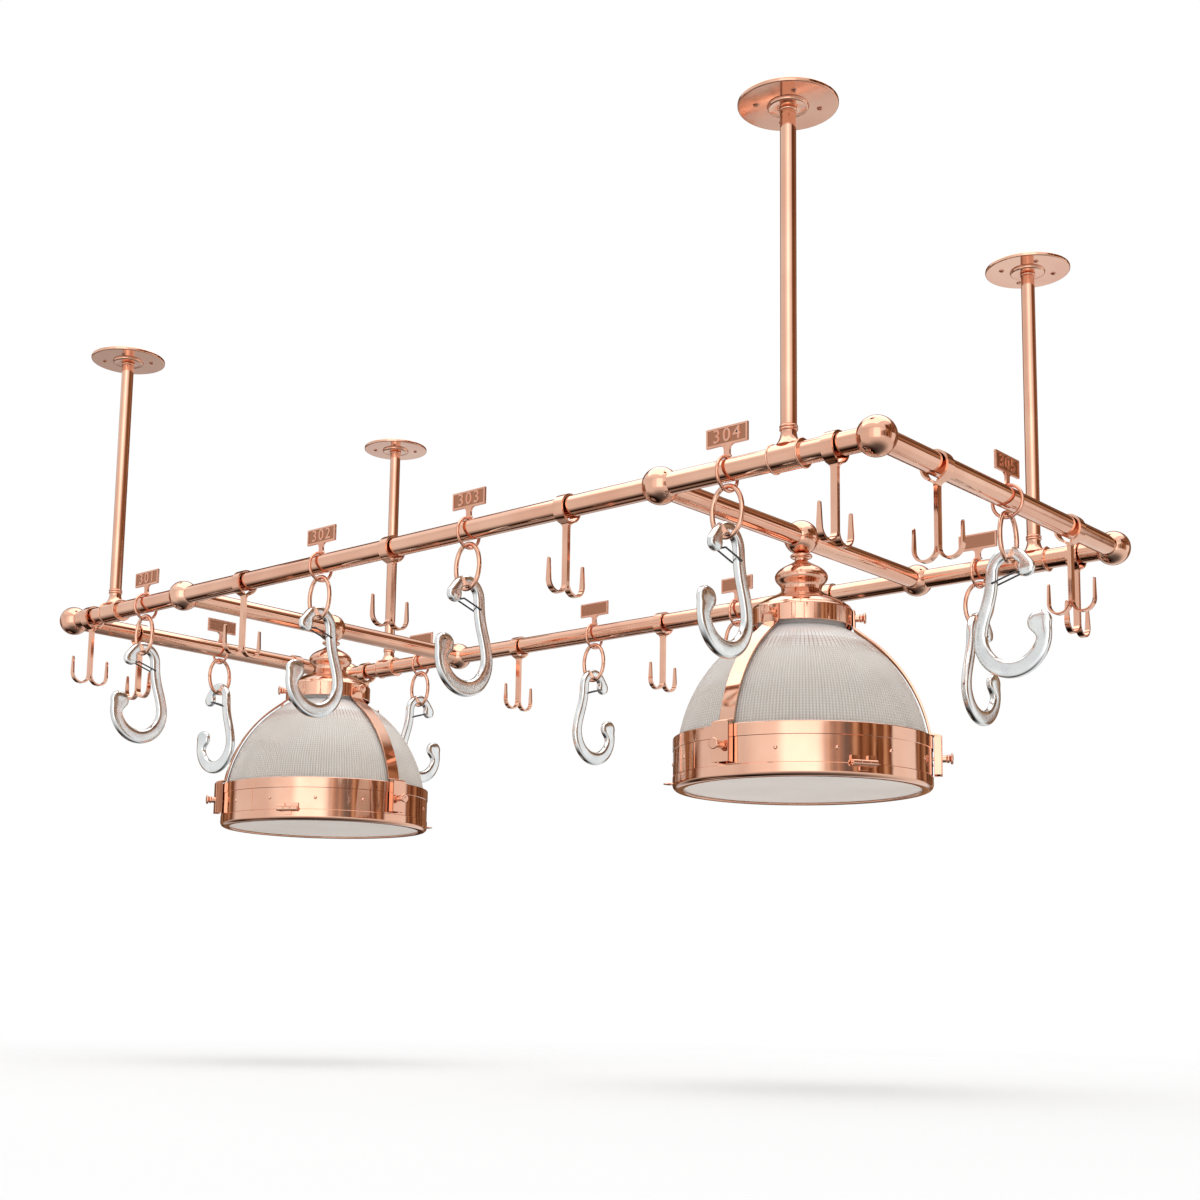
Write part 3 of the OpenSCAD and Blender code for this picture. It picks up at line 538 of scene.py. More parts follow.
def strip(name, path, thickness, edge=0.6):
    """Flat bar along a path of (y, z, width) in mm, its width along X, with rounded edges."""
    y, z, width = path[0]
    piece = start(name, bpy.ops.mesh.primitive_plane_add, size=1)
    bpy.ops.object.mode_set(mode="EDIT")
    bpy.ops.mesh.select_all(action="SELECT")
    bpy.ops.transform.resize(value=(width * MM, 0, 1))
    bpy.ops.mesh.remove_doubles(threshold=0.01 * MM)
    bpy.ops.mesh.select_all(action="SELECT")
    bpy.ops.transform.translate(value=(0, y * MM, z * MM))
    for new_y, new_z, new_width in path[1:]:
        bpy.ops.mesh.extrude_region_move(
            TRANSFORM_OT_translate={"value": (0, (new_y - y) * MM, (new_z - z) * MM)})
        bpy.ops.transform.resize(value=(new_width / width, 1, 1))
        y, z, width = new_y, new_z, new_width
    bpy.ops.object.mode_set(mode="OBJECT")
    change(piece, "SOLIDIFY", thickness=thickness * MM, offset=0, use_even_offset=True)
    change(piece, "BEVEL", width=edge * MM, segments=2, angle_limit=math.radians(50))
    bpy.ops.object.mode_set(mode="EDIT")
    face_out()
    smooth(piece, 40)
    return piece


half_strap = STRAP_T / 2
pinch = math.degrees(math.asin((half_strap + 1) / BAND_R))
path = [(y, z, BAND_W) for y, z in arc((0, BAND_Z), BAND_R, 90, -90 + pinch + 14, 20)]
path += [(y, z, STEM_W + (BAND_W - STEM_W) * (1 - k / 5)) for k, (y, z) in enumerate(
    curve(path[-1][:2], (path[-1][0] - 3, path[-1][1] - 1.5), (half_strap, BAND_Z - BAND_R - 1),
          (half_strap, BAND_Z - BAND_R - 7), 5)) if k]
path += [(half_strap, z, STEM_W) for z in (-60, -80, -100, BOWL_Z + 2)]
path += [(y, z, STEM_W + (BOWL_END_W - STEM_W) * k / 16)
         for k, (y, z) in enumerate(arc((half_strap + BOWL_R, BOWL_Z), BOWL_R, 180, 360, 16))]
far = half_strap + 2 * BOWL_R
rise = PRONG_TOP - BOWL_Z - TIP_W / 2
path += [(far, BOWL_Z + rise * k / 3, BOWL_END_W + (TIP_W - BOWL_END_W) * k / 3) for k in (1, 2, 3)]
path += [(far + 0.2, PRONG_TOP - TIP_W / 2 + TIP_W / 2 * math.sin(a), TIP_W * math.cos(a))
         for a in (math.radians(d) for d in (25, 45, 62, 75))]
right_half = strip("half", path, STRAP_T)
left_half = put(right_half, "half", turn=180)
double_hook = join([right_half, left_half], "double_hook")
HOOK_XS, HOOK_YS = (-842, -377, 0, 377, 842), (-198, 198)
double_sites = {
    "front": [(x * MM, -HALF_W, 0) for x in HOOK_XS],
    "back": [(x * MM, HALF_W, 0) for x in HOOK_XS],
    "left": [(-HALF_L, y * MM, 90) for y in HOOK_YS],
    "right": [(HALF_L, y * MM, 90) for y in HOOK_YS]}
for side, sites in double_sites.items():
    hooks = [put(double_hook, "hook", (x, y, RAIL_Z), turn) for x, y, turn in sites]
    dress(join(hooks, side + "_double_hook_set"), polished_copper, side + "_hooks", "copper",
          side + "_double_hooks")
remove(double_hook)


# ---- Numbered rings ----
# Cast rings that hang loose on the rail. A flared neck carries a plate with a raised border and
# figures, cast in one with it, so the skin is duller and grainier than the tube's.
# Cast and plated copper: the same colour with a grainy, softer shine
cast_copper, tree, spot, drift, tint = finish(
    "cast_copper", 30, 4, (0.3, "#e0a288"), (0.7, "#efb9a1"))
grain = add(tree, "ShaderNodeTexNoise", inputs={
    "Vector": spot.outputs["Object"], "Scale": 1 / (4 * MM), "Detail": 4})
haze = add(tree, "ShaderNodeMapRange", inputs={
    "Value": grain.outputs["Fac"], "From Min": 0.3, "From Max": 0.7, "To Min": 0.14, "To Max": 0.26})
pits = add(tree, "ShaderNodeBump", inputs={
    "Height": grain.outputs["Fac"], "Strength": 0.35, "Distance": 0.5 * MM})
# Painted shade: the sunk field round the figures is coloured darker, standing in for the shade in the
# recess
field_shade_mask = add(tree, "ShaderNodeAttribute", {"attribute_name": "sunk_field_shade"})
field_shaded = add(tree, "ShaderNodeMix", {"data_type": "RGBA"}, {
    0: field_shade_mask.outputs["Fac"], 6: tint.outputs["Color"], 7: colour("#b07a60")})
skin = add(tree, "ShaderNodeBsdfPrincipled", inputs={
    "Base Color": field_shaded.outputs[2], "Metallic": 1.0, "Roughness": haze.outputs["Result"],
    "Normal": pits.outputs["Normal"]})
add(tree, "ShaderNodeOutputMaterial", inputs={"Surface": skin.outputs[0]})

RING_R, RING_WIRE = 21, 5
TAG_L, TAG_H, TAG_T = 70, 27, 4
TAG_BORDER, TAG_SUNK = 3, 0.8
NECK_W, NECK_H, FLARE = 10, 15, 7
TAG_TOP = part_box("ring_holder_1")[1].z / MM
TAG_Z = TAG_TOP - TAG_H
RING_TOP = TAG_Z - NECK_H
RING_Z = RING_TOP - RING_R - RING_WIRE
RINGS = range(1, 11)


def torus(name, radius, wire):
    """A ring of round wire in the plane of Y and Z."""
    made = start(name, bpy.ops.mesh.primitive_torus_add, major_radius=radius * MM,
                 minor_radius=wire / 2 * MM, major_segments=64, minor_segments=16)
    bpy.ops.transform.rotate(value=math.radians(90), orient_axis="Y", center_override=(0, 0, 0))
    bpy.ops.object.transform_apply()
    smooth(made, 60)
    return made


def outline(name, points, thickness, edge=0.5):
    """A plate cut to an outline of (x, z) points in mm, centred across Y, with eased edges."""
    made = start(name, bpy.ops.mesh.primitive_circle_add, vertices=len(points), radius=1)
    for vertex, (x, z) in zip(made.data.vertices, points):
        vertex.co = (x * MM, -thickness / 2 * MM, z * MM)
    bpy.ops.object.mode_set(mode="EDIT")
    bpy.ops.mesh.select_all(action="SELECT")
    bpy.ops.mesh.edge_face_add()
    bpy.ops.mesh.extrude_region_move(TRANSFORM_OT_translate={"value": (0, thickness * MM, 0)})
    face_out()
    change(made, "BEVEL", width=edge * MM, segments=2, angle_limit=math.radians(50))
    smooth(made, 40)
    return made


def station(i):
    """Place of ring i and the turn that faces it outward."""
    low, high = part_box(f"link_{i}")
    x, y = (low.x + high.x) / 2, (low.y + high.y) / 2
    if abs(x) > HALF_L - 0.1:
        return Vector((x, 0, 0)), -90 if x > 0 else 90
    return Vector((x, y, 0)), 180 if y < 0 else 0


side = NECK_W / 2 + FLARE
tag_points = [
    (-TAG_L / 2, TAG_TOP), (-TAG_L / 2, TAG_Z), *arc((-side, TAG_Z - FLARE), FLARE, 90, 0, 6),
    (-NECK_W / 2, RING_TOP + 2), (-NECK_W / 2 - 3, RING_TOP - RING_WIRE / 2),
    (NECK_W / 2 + 3, RING_TOP - RING_WIRE / 2), (NECK_W / 2, RING_TOP + 2),
    *arc((side, TAG_Z - FLARE), FLARE, 180, 90, 6), (TAG_L / 2, TAG_Z), (TAG_L / 2, TAG_TOP)]
blank = outline("tag", tag_points, TAG_T)
field = (TAG_L / 2 - TAG_BORDER, TAG_T / 2 - TAG_SUNK, TAG_Z + TAG_BORDER, TAG_TOP - TAG_BORDER)
for face in (1, -1):
    y_from, y_to = sorted((face * field[1], face * (field[1] + 5)))
    cut(blank, block("field", (-field[0], y_from, field[2]), (field[0], y_to, field[3]), 0.2))
smooth(blank, 40)
# Painted shade: a mask of the sunk field's vertices, which the material colours darker
floor_y = TAG_T / 2 - TAG_SUNK / 2
lowered = [
    float(abs(x) < field[0] * MM + 1e-5 and abs(y) < floor_y * MM and z > (field[2] - 0.01) * MM)
    for x, y, z in (vertex.co for vertex in blank.data.vertices)]
sunk_field_shade = blank.data.attributes.new("sunk_field_shade", "FLOAT", "POINT")
sunk_field_shade.data.foreach_set("value", lowered)
ring = torus("ring", RING_R + RING_WIRE / 2, RING_WIRE)
ring_placed = put(ring, "ring", (0, 0, RING_Z * MM))
remove(ring)
holder = join([blank, ring_placed], "holder")
# The figures stand as high as the border and read from outside the rack
FIGURE_H = 19
OUTWARD = Matrix(((-1, 0, 0, 0), (0, 0, 1, 0), (0, 1, 0, 0), (0, 0, 0, 1)))
for i in RINGS:
    place, turn = station(i)
    figures = start("figures", bpy.ops.object.text_add)
    figures.data.body = str(300 + i)
    figures.data.size = FIGURE_H / 0.7 * MM
    figures.data.align_x = "CENTER"
    figures.data.align_y = "CENTER"
    figures.data.space_character = 1.25
    figures.data.extrude = TAG_SUNK / 2 * MM
    figures.data.offset = 0.25 * MM
    figures.data.resolution_u = 6
    bpy.ops.object.convert(target="MESH")
    figures = bpy.context.object
    middle = (0, (field[1] + TAG_SUNK / 2) * MM, (TAG_Z + TAG_H / 2) * MM)
    raised = put(figures, "figures", place, turn, Matrix.Translation(middle) @ OUTWARD)
    remove(figures)
    smooth(raised, 40)
    one = join([put(holder, "holder", place, turn), raised], f"numbered_ring_{i}")
    dress(one, cast_copper, f"ring_{i}", "copper", f"ring_holder_{i}")
remove(holder)


# ---- Links ----
# Round copper-plated wire, bent to an oval and brazed shut. It hangs in the ring and carries the
# pot hook.
LINK_W, LINK_H, LINK_WIRE = 57, 78, 7
LINK_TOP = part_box("link_1")[1].z
oval = start("oval", bpy.ops.curve.primitive_bezier_circle_add, radius=1)
oval.data.resolution_u = 16
oval.data.bevel_depth = LINK_WIRE / 2 * MM
oval.data.bevel_resolution = 8
bpy.ops.object.mode_set(mode="EDIT")
bpy.ops.curve.select_all(action="SELECT")
bpy.ops.transform.resize(value=((LINK_W - LINK_WIRE) / 2 * MM, (LINK_H - LINK_WIRE) / 2 * MM, 1))
bpy.ops.object.mode_set(mode="OBJECT")
bpy.ops.object.convert(target="MESH")
oval = bpy.context.object
upright = Matrix.Rotation(math.radians(90), 4, "X")
link = put(oval, "link", (0, 0, LINK_TOP - LINK_H / 2 * MM), lean=upright)
remove(oval)
smooth(link, 60)
for i in RINGS:
    place, turn = station(i)
    one = put(link, f"oval_link_{i}", place, turn)
    dress(one, polished_copper, f"link_{i}_body", "copper", f"link_{i}")
remove(link)


# ---- Pot hooks ----
# Forged steel, ground and tumbled to a soft shine: a flat bar with round edges that ends in a knob
# over the link and in a fat round tip at the bowl. The wire gate is pinned through its shaft.
# Bare steel off the tumbler: pale, with blurred reflections over faint hammer marks
forged_steel, tree, spot, drift, tint = finish(
    "tumbled_forged_steel", 35, 4, (0.35, "#dde0e0"), (0.65, "#eff1f0"))
scuff = add(tree, "ShaderNodeTexNoise", inputs={
    "Vector": spot.outputs["Object"], "Scale": 1 / (9 * MM), "Detail": 6})
haze = add(tree, "ShaderNodeMapRange", inputs={
    "Value": scuff.outputs["Fac"], "From Min": 0.3, "From Max": 0.7, "To Min": 0.10, "To Max": 0.20})
hammered = add(tree, "ShaderNodeBump", inputs={
    "Height": drift.outputs["Fac"], "Strength": 0.18, "Distance": 1.2 * MM})
skin = add(tree, "ShaderNodeBsdfPrincipled", inputs={
    "Base Color": tint.outputs["Color"], "Metallic": 1.0, "Roughness": haze.outputs["Result"],
    "Normal": hammered.outputs["Normal"]})
add(tree, "ShaderNodeOutputMaterial", inputs={"Surface": skin.outputs[0]})

HOOK_T = 13
BEND_R, BEND_W = 27, 17
KNOB_R, KNOB_TURN = 13, 5
SHAFT_W, BOWL_W = 18.5, 25
HOOK_BOWL = (3, -106)
HOOK_BOWL_R = 49.5
BOWL_FROM, BOWL_TO = 172, 368
TIP_R = 18
TIP_RUN, TIP_IN, TIP_HALF = 20, 5.9, 15.6
HOOK_Z = LINK_TOP / MM - LINK_H + LINK_WIRE / 2
BEND_Z = LINK_WIRE / 2 + 0.6 + BEND_W / 2 - BEND_R


def bar(name, sections, corner=0.62, ease=4):
    """A solid bar through sections of (y, z, heading, half width, half thickness) in mm and degrees.
    Its thickness lies along X, and heading 0 points along Y."""
    y, z, heading, width, thick = sections[0]
    piece = start(name, bpy.ops.mesh.primitive_plane_add, size=2)
    bpy.ops.object.mode_set(mode="EDIT")
    bpy.ops.mesh.select_all(action="SELECT")
    bpy.ops.mesh.bevel(offset=corner, segments=ease, affect="VERTICES")
    bpy.ops.mesh.select_all(action="SELECT")
    # The plane's Y is turned to Z, so that the section stands across heading 0
    bpy.ops.transform.rotate(value=math.radians(-90), orient_axis="X", center_override=(0, 0, 0))
    bpy.ops.transform.resize(value=(thick * MM, 1, width * MM), center_override=(0, 0, 0))
    bpy.ops.transform.rotate(value=-math.radians(heading), orient_axis="X", center_override=(0, 0, 0))
    bpy.ops.transform.translate(value=(0, y * MM, z * MM))
    for new_y, new_z, new_heading, new_width, new_thick in sections[1:]:
        bpy.ops.mesh.extrude_region_move(
            TRANSFORM_OT_translate={"value": (0, (new_y - y) * MM, (new_z - z) * MM)})
        here = (0, new_y * MM, new_z * MM)
        bpy.ops.transform.rotate(value=math.radians(heading), orient_axis="X", center_override=here)
        bpy.ops.transform.resize(value=(new_thick / thick, 1, new_width / width), center_override=here)
        bpy.ops.transform.rotate(value=-math.radians(new_heading), orient_axis="X", center_override=here)
        y, z, heading, width, thick = new_y, new_z, new_heading, new_width, new_thick
    face_out()
    smooth(piece, 60)
    return piece


def swell(share):
    """Half thickness of the bar where a round end closes, at a share of the end's radius."""
    return HOOK_T / 2 * (1 - min(abs(share), 0.985) ** 4) ** 0.5


sections = []
knob = Vector(around((0, BEND_Z), BEND_R, KNOB_TURN))
knob_heading = 90 + KNOB_TURN
ahead = Vector(around((0, 0), 1, knob_heading))
for share in (-0.985, -0.93, -0.82, -0.66, -0.45, -0.2, 0.0, 0.25, 0.5):
    at = knob + ahead * share * KNOB_R
    sections.append((at.x, at.y, knob_heading, KNOB_R * (1 - share**2) ** 0.5,
                     swell(share) if share < 0 else HOOK_T / 2))
for angle in range(30, 181, 12):
    sections.append((*around((0, BEND_Z), BEND_R, angle), 90 + angle, BEND_W / 2, HOOK_T / 2))
shaft_end = Vector(around(HOOK_BOWL, HOOK_BOWL_R, BOWL_FROM))
lead = shaft_end - 30 * Vector(around((0, 0), 1, BOWL_FROM + 90))
shaft = curve((-BEND_R, BEND_Z), (-BEND_R, BEND_Z - 40), tuple(lead), tuple(shaft_end), 12)
for k in range(1, 12):
    step = Vector(shaft[k + 1]) - Vector(shaft[k - 1])
    heading = math.degrees(math.atan2(step.y, step.x)) % 360
    sections.append((*shaft[k], heading, (BEND_W + (SHAFT_W - BEND_W) * k / 12) / 2, HOOK_T / 2))
sweep_steps = 22
for k in range(sweep_steps + 1):
    angle = BOWL_FROM + (BOWL_TO - BOWL_FROM) * k / sweep_steps
    width = SHAFT_W + (BOWL_W - SHAFT_W) * math.sin(math.pi * k / sweep_steps)
    # Towards the tip the bar widens inward
    near = max(0, (angle - (BOWL_TO - TIP_RUN)) / TIP_RUN)
    near = near * near * (3 - 2 * near)
    sections.append((*around(HOOK_BOWL, HOOK_BOWL_R - TIP_IN * near, angle),
                     90 + angle, width / 2 + (TIP_HALF - SHAFT_W / 2) * near, HOOK_T / 2))
end = Vector(sections[-1][:2])
ahead = Vector(around((0, 0), 1, 90 + BOWL_TO))
for share in (-0.25, 0.0, 0.25, 0.5, 0.7, 0.85, 0.94, 0.985):
    at = end + ahead * (share + 0.5) * TIP_R * 0.9
    sections.append((at.x, at.y, 90 + BOWL_TO, TIP_R * (1 - share**2) ** 0.5, swell(max(share, 0))))
model = bar("hook", sections)
pot_hook = put(model, "hook", (0, 0, HOOK_Z * MM))
remove(model)
change(pot_hook, "SUBSURF", levels=1, render_levels=1)
smooth(pot_hook, 60)
for i in RINGS:
    place, turn = station(i)
    one = put(pot_hook, f"forged_hook_{i}", place, turn)
    dress(one, forged_steel, f"hook_{i}", "steel", f"pot_hook_{i}")
remove(pot_hook)


# ---- Gates ----
# Spring wire, bent to a U and left dark from drawing, its ends pinned through the shaft of the
# hook. The node's own round wire has the right shape, so it only gets its finish here.
# Drawn wire: dark grey, with a dull shine along its die lines
spring_wire, tree, spot, drift, tint = finish("drawn_spring_wire", 3, 3)
haze = add(tree, "ShaderNodeMapRange", inputs={
    "Value": drift.outputs["Fac"], "From Min": 0.3, "From Max": 0.7, "To Min": 0.28, "To Max": 0.42})
skin = add(tree, "ShaderNodeBsdfPrincipled", inputs={
    "Base Color": colour("#5c5c5e"), "Metallic": 1.0, "Roughness": haze.outputs["Result"]})
add(tree, "ShaderNodeOutputMaterial", inputs={"Surface": skin.outputs[0]})
for i in RINGS:
    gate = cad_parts[f"hook_gate_{i}"]
    gate.data.materials.clear()
    gate.data.materials.append(spring_wire)


# ---- Lamp caps ----
# Spun copper: a bead and a short neck under the ball, a vase, a waist and a flared gallery that
# grips the glass. The lampholder hangs inside.
LAMP_R = 197
LAMP_LOW = -397
DOOR_H, BAND_H, RIM_H = 19.5, 42, 17.5
SEAM = LAMP_LOW + DOOR_H
BAND_TOP = SEAM + BAND_H
LAMP_TOP = BAND_TOP + RIM_H
RING_WALL = 3
GALLERY_R, GALLERY_H = 79, 29
DOME_R, DOME_ANGLE = 230, 8.4
GLASS_T = 5
FOOT_R = LAMP_R - RING_WALL - 5.5
GLASS_NECK_R = GALLERY_R - 11
SOCKET_R, SOCKET_L, SOCKET_DEEP = 21, 62, 31
DOME_C = (FOOT_R - DOME_R * math.cos(math.radians(DOME_ANGLE)),
          LAMP_TOP - DOME_R * math.sin(math.radians(DOME_ANGLE)))
GALLERY_LOW = DOME_C[1] + math.sqrt(DOME_R**2 - (GLASS_NECK_R - DOME_C[0]) ** 2) + 3
GALLERY_TOP = GALLERY_LOW + GALLERY_H
CAP_WIDE, CAP_WAIST = (41, -62), (31, -84)
LAMPS = (("left", -CROSSBAR_X, 0), ("right", CROSSBAR_X, 30))
holder_top = CAP_WAIST[1] - 16
cap = turned("cap", [
    (0, -TUBE_R - 0.4), (6, -TUBE_R - 0.4), (6, -27.5), *arc((14, -30), 3, 90, -90, 10), (10, -33.5),
    *curve((10, -37), (16, -45), (CAP_WIDE[0] - 4, CAP_WIDE[1] + 14), CAP_WIDE, 14),
    *curve((CAP_WIDE[0], CAP_WIDE[1] - 2), (CAP_WIDE[0], CAP_WIDE[1] - 10),
           (CAP_WAIST[0], CAP_WAIST[1] + 10), CAP_WAIST, 10),
    *curve((CAP_WAIST[0], CAP_WAIST[1] - 1), (CAP_WAIST[0] + 4, CAP_WAIST[1] - 10),
           (CAP_WAIST[0] + 26, CAP_WAIST[1] - 14), (GALLERY_R - 3, GALLERY_TOP + 2), 14),
    *arc((GALLERY_R - 4, GALLERY_TOP - 4), 4, 60, 0, 5), (GALLERY_R, GALLERY_LOW + 1),
    (GALLERY_R - 0.8, GALLERY_LOW), (GALLERY_R - 2, GALLERY_LOW),
    (GALLERY_R - 2, GALLERY_TOP - 6), (CAP_WAIST[0], holder_top), (0, holder_top)], 128)
smooth(cap, 30)
socket_low = holder_top - SOCKET_L
socket = turned("socket", [
    (0, holder_top), (SOCKET_R, holder_top), (SOCKET_R, socket_low + 2), (SOCKET_R - 1, socket_low),
    (14, socket_low), (14, holder_top - SOCKET_DEEP), (0, holder_top - SOCKET_DEEP)], 64)
smooth(socket)
AT_LAMPS = [((x, 0, RAIL_Z), turn) for side, x, turn in LAMPS]
caps = set_out(join([cap, socket], "cap"), AT_LAMPS, "spun_caps")
dress(caps, polished_copper, "frame", "copper", "lamp_caps")


# ---- Glass domes ----
# Pressed prismatic glass, milky in the mass: fine upright ribs all round, crossed below the
# shoulder by level ribs, so that it scatters the light and hides the bulb.
SHOULDER, COPPER_REFLECTION_REACH = 52, 62
# Fire-polished pressed glass: clear skin over a milky body
prism_glass, tree, spot, drift, tint = finish(
    "prismatic_glass", 60, 2, (0.3, "#fffbf6"), (0.7, "#ffffff"))
groove_shade_mask = add(tree, "ShaderNodeAttribute", {"attribute_name": "groove_shade"})
up = add(tree, "ShaderNodeSeparateXYZ", inputs={"Vector": spot.outputs["Object"]})
# Painted shade and painted reflection: the grooves are coloured grey for the shade their refraction
# gives, and where they run up under the gallery they take its copper and then dark brown, for its
# reflection and the shade under it
under_cap = add(tree, "ShaderNodeMapRange", {"interpolation_type": "SMOOTHSTEP"}, {
    "Value": up.outputs["Z"], "From Min": RAIL_Z + (GALLERY_LOW - COPPER_REFLECTION_REACH) * MM,
    "From Max": RAIL_Z + (GALLERY_LOW - 2) * MM})
groove_shade_and_copper_reflection = add(tree, "ShaderNodeValToRGB", inputs={"Fac": under_cap.outputs["Result"]}, stops=[
    (0.0, colour("#e0d4c6")), (0.3, colour("#b98d70")), (1.0, colour("#6a3a1e"))])
shade = add(tree, "ShaderNodeMix", {"data_type": "RGBA"}, {
    0: groove_shade_mask.outputs["Fac"], 6: tint.outputs["Color"], 7: groove_shade_and_copper_reflection.outputs["Color"]})
skin = add(tree, "ShaderNodeBsdfPrincipled", inputs={
    "Base Color": shade.outputs[2], "Metallic": 0.0, "Roughness": 0.08, "IOR": 1.5,
    "Transmission Weight": 0.4})
add(tree, "ShaderNodeOutputMaterial", inputs={"Surface": skin.outputs[0]})

RIBS, PER_RIB = 240, 3
RIB_DEPTH, RIB_MEAN_R = 1.0, 150
ROW_PITCH, ROW_DEPTH = 4.4, 0.5
top_angle = math.degrees(math.acos((GLASS_NECK_R - DOME_C[0]) / DOME_R))
dome_length = math.radians(top_angle - DOME_ANGLE) * DOME_R
foot_low = LAMP_TOP - RIM_H + 3
profile = [(FOOT_R - GLASS_T, foot_low), (FOOT_R - 0.5, foot_low), (FOOT_R, foot_low + 0.5),
           (FOOT_R, LAMP_TOP)]
for k in range(1, int(2 * dome_length / ROW_PITCH)):
    way_up = k * ROW_PITCH / 2
    in_row = k % 2 == 0 and way_up < dome_length - SHOULDER
    angle = math.radians(DOME_ANGLE) + way_up / DOME_R
    skin_r = DOME_R - ROW_DEPTH if in_row else DOME_R
    profile.append((DOME_C[0] + skin_r * math.cos(angle), DOME_C[1] + skin_r * math.sin(angle)))
neck_top = GALLERY_LOW + 14
profile += [(GLASS_NECK_R, GALLERY_LOW - 3), (GLASS_NECK_R, neck_top), (GLASS_NECK_R - GLASS_T, neck_top)]
profile += [(x, z) for x, z in arc(DOME_C, DOME_R - GLASS_T, top_angle, DOME_ANGLE, 16)
            if x > GLASS_NECK_R - GLASS_T + 0.5]
profile += [(FOOT_R - GLASS_T, foot_low)]
dome = turned("dome", profile, RIBS * PER_RIB, shut=True)
only(dome)
depths = []
bpy.ops.object.mode_set(mode="EDIT")
bpy.ops.mesh.select_all(action="DESELECT")
bpy.ops.object.mode_set(mode="OBJECT")
for vertex in dome.data.vertices:
    x, y, z = vertex.co
    rib_at = math.atan2(y, x) / (2 * math.pi) * RIBS
    radius = math.hypot(x, y) / MM
    far = math.hypot(radius - DOME_C[0], z / MM - DOME_C[1])
    on_skin = LAMP_TOP + 0.5 < z / MM < GALLERY_LOW + 2 and far > DOME_R - 2
    # Under the gallery only every other groove runs on
    runs_on = round(rib_at) % 2 == 0 or z / MM < GALLERY_LOW - SHOULDER
    vertex.select = on_skin and abs(rib_at - round(rib_at)) < 0.1 and runs_on
    in_row = on_skin and far < DOME_R - ROW_DEPTH / 2
    # Painted shade: 1 in the upright grooves and 0.75 in the level rows, where the material paints the
    # grooves' colour
    depths.append(1.0 if vertex.select else 0.75 if in_row else 0.0)
bpy.ops.object.mode_set(mode="EDIT")
shrink = 1 - RIB_DEPTH / RIB_MEAN_R
bpy.ops.transform.resize(value=(shrink, shrink, 1), center_override=(0, 0, 0))
bpy.ops.object.mode_set(mode="OBJECT")
groove_shade = dome.data.attributes.new("groove_shade", "FLOAT", "POINT")
groove_shade.data.foreach_set("value", depths)
smooth(dome, 40)
domes = [put(dome, "dome", (x, 0, RAIL_Z), turn) for side, x, turn in LAMPS]
remove(dome)
for (side, x, turn), one in zip(LAMPS, domes):
    one.name = side + "_prismatic_dome"
dress(domes[0], prism_glass, "frame", "dome_glass", "glass_domes")
dress(domes[1], prism_glass, "frame", "dome_glass")


# ---- Straps ----
# Three flat copper straps a lamp, bent from the gallery over the glass to a folded bracket that
# stands off the band.
LAMP_STRAP_W, LAMP_STRAP_T = 26, 3
STAND_OFF = 10
near = DOME_R + 3 + LAMP_STRAP_T / 2
inner = LAMP_R + STAND_OFF + LAMP_STRAP_T / 2
top_x = GALLERY_R + 0.3 + LAMP_STRAP_T / 2
path = [(top_x, GALLERY_LOW - 3 + GALLERY_H - 1), (top_x, GALLERY_LOW - 3)]
path += arc(DOME_C, near, 50, DOME_ANGLE + 1.2, 24)
path += [(inner - 1, LAMP_TOP + 2.2), (inner, LAMP_TOP), (inner, SEAM + 4)]
strap = strip("strap", [(y, z, LAMP_STRAP_W) for y, z in path], LAMP_STRAP_T, 0.5)
# The bracket: a plate over the strap's end, folded back towards the band at its sides
BRACKET_W, BRACKET_T = 30, 2.4
outer = LAMP_R + STAND_OFF + LAMP_STRAP_T
bracket_low, bracket_top, wide = SEAM + 3, LAMP_TOP + 1.5, BRACKET_W / 2
folds = [block("fold", (low, LAMP_R + 1, bracket_low), (low + BRACKET_T, outer - 0.1, bracket_top), 0.5)
         for low in (-wide, wide - BRACKET_T)]
face = block("face", (-wide, outer - BRACKET_T, bracket_low), (wide, outer + 0.2, bracket_top), 0.6)
strap = join([strap, face, *folds], "strap")
strap_spots = [((x, 0, RAIL_Z), turn + 120 * k - 90) for side, x, turn in LAMPS for k in range(3)]
dress(set_out(strap, strap_spots, "glass_straps"), polished_copper, "frame", "copper", "lamp_straps")


# ---- Thumb screws ----
# Turned copper screws with a nut, a waist and a finger disc, two to a strap: one in the gallery
# and one through the bracket into the band.
STRAP_SCREW_UP = 24


def thumb_screw(name, shank):
    """A thumb screw along Z, its nut's seat at 0 and its shank below that."""
    made = turned(name, [
        (0, -shank), (2.5, -shank), (2.5, 0), (5.5, 0), (5.5, 5), *arc((3.5, 8.5), 3, -60, 60, 6),
        (3.5, 12), *arc((6.5, 14), 2, -90, 90, 8), (3, 16), (2, 16.3), (0, 16.3)], 48)
    smooth(made, 40)
    return made


band_x = LAMP_R + STAND_OFF + LAMP_STRAP_T + 0.3
screws = []
gallery_x = GALLERY_R + LAMP_STRAP_T + 0.6
for shank, far, z in ((LAMP_STRAP_T + 0.3, gallery_x, GALLERY_LOW + GALLERY_H / 2),
                      (band_x - LAMP_R + 0.7, band_x, SEAM + 4 + STRAP_SCREW_UP)):
    model = thumb_screw("screw", shank)
    for side, x, turn in LAMPS:
        for k in range(3):
            place = (*around((x, 0), far * MM, turn + 120 * k), RAIL_Z + z * MM)
            screws.append(put(model, "screw", place, turn + 120 * k, ON_X))
    remove(model)
dress(join(screws, "thumb_screw_set"), polished_copper, "frame", "copper", "thumb_screws")


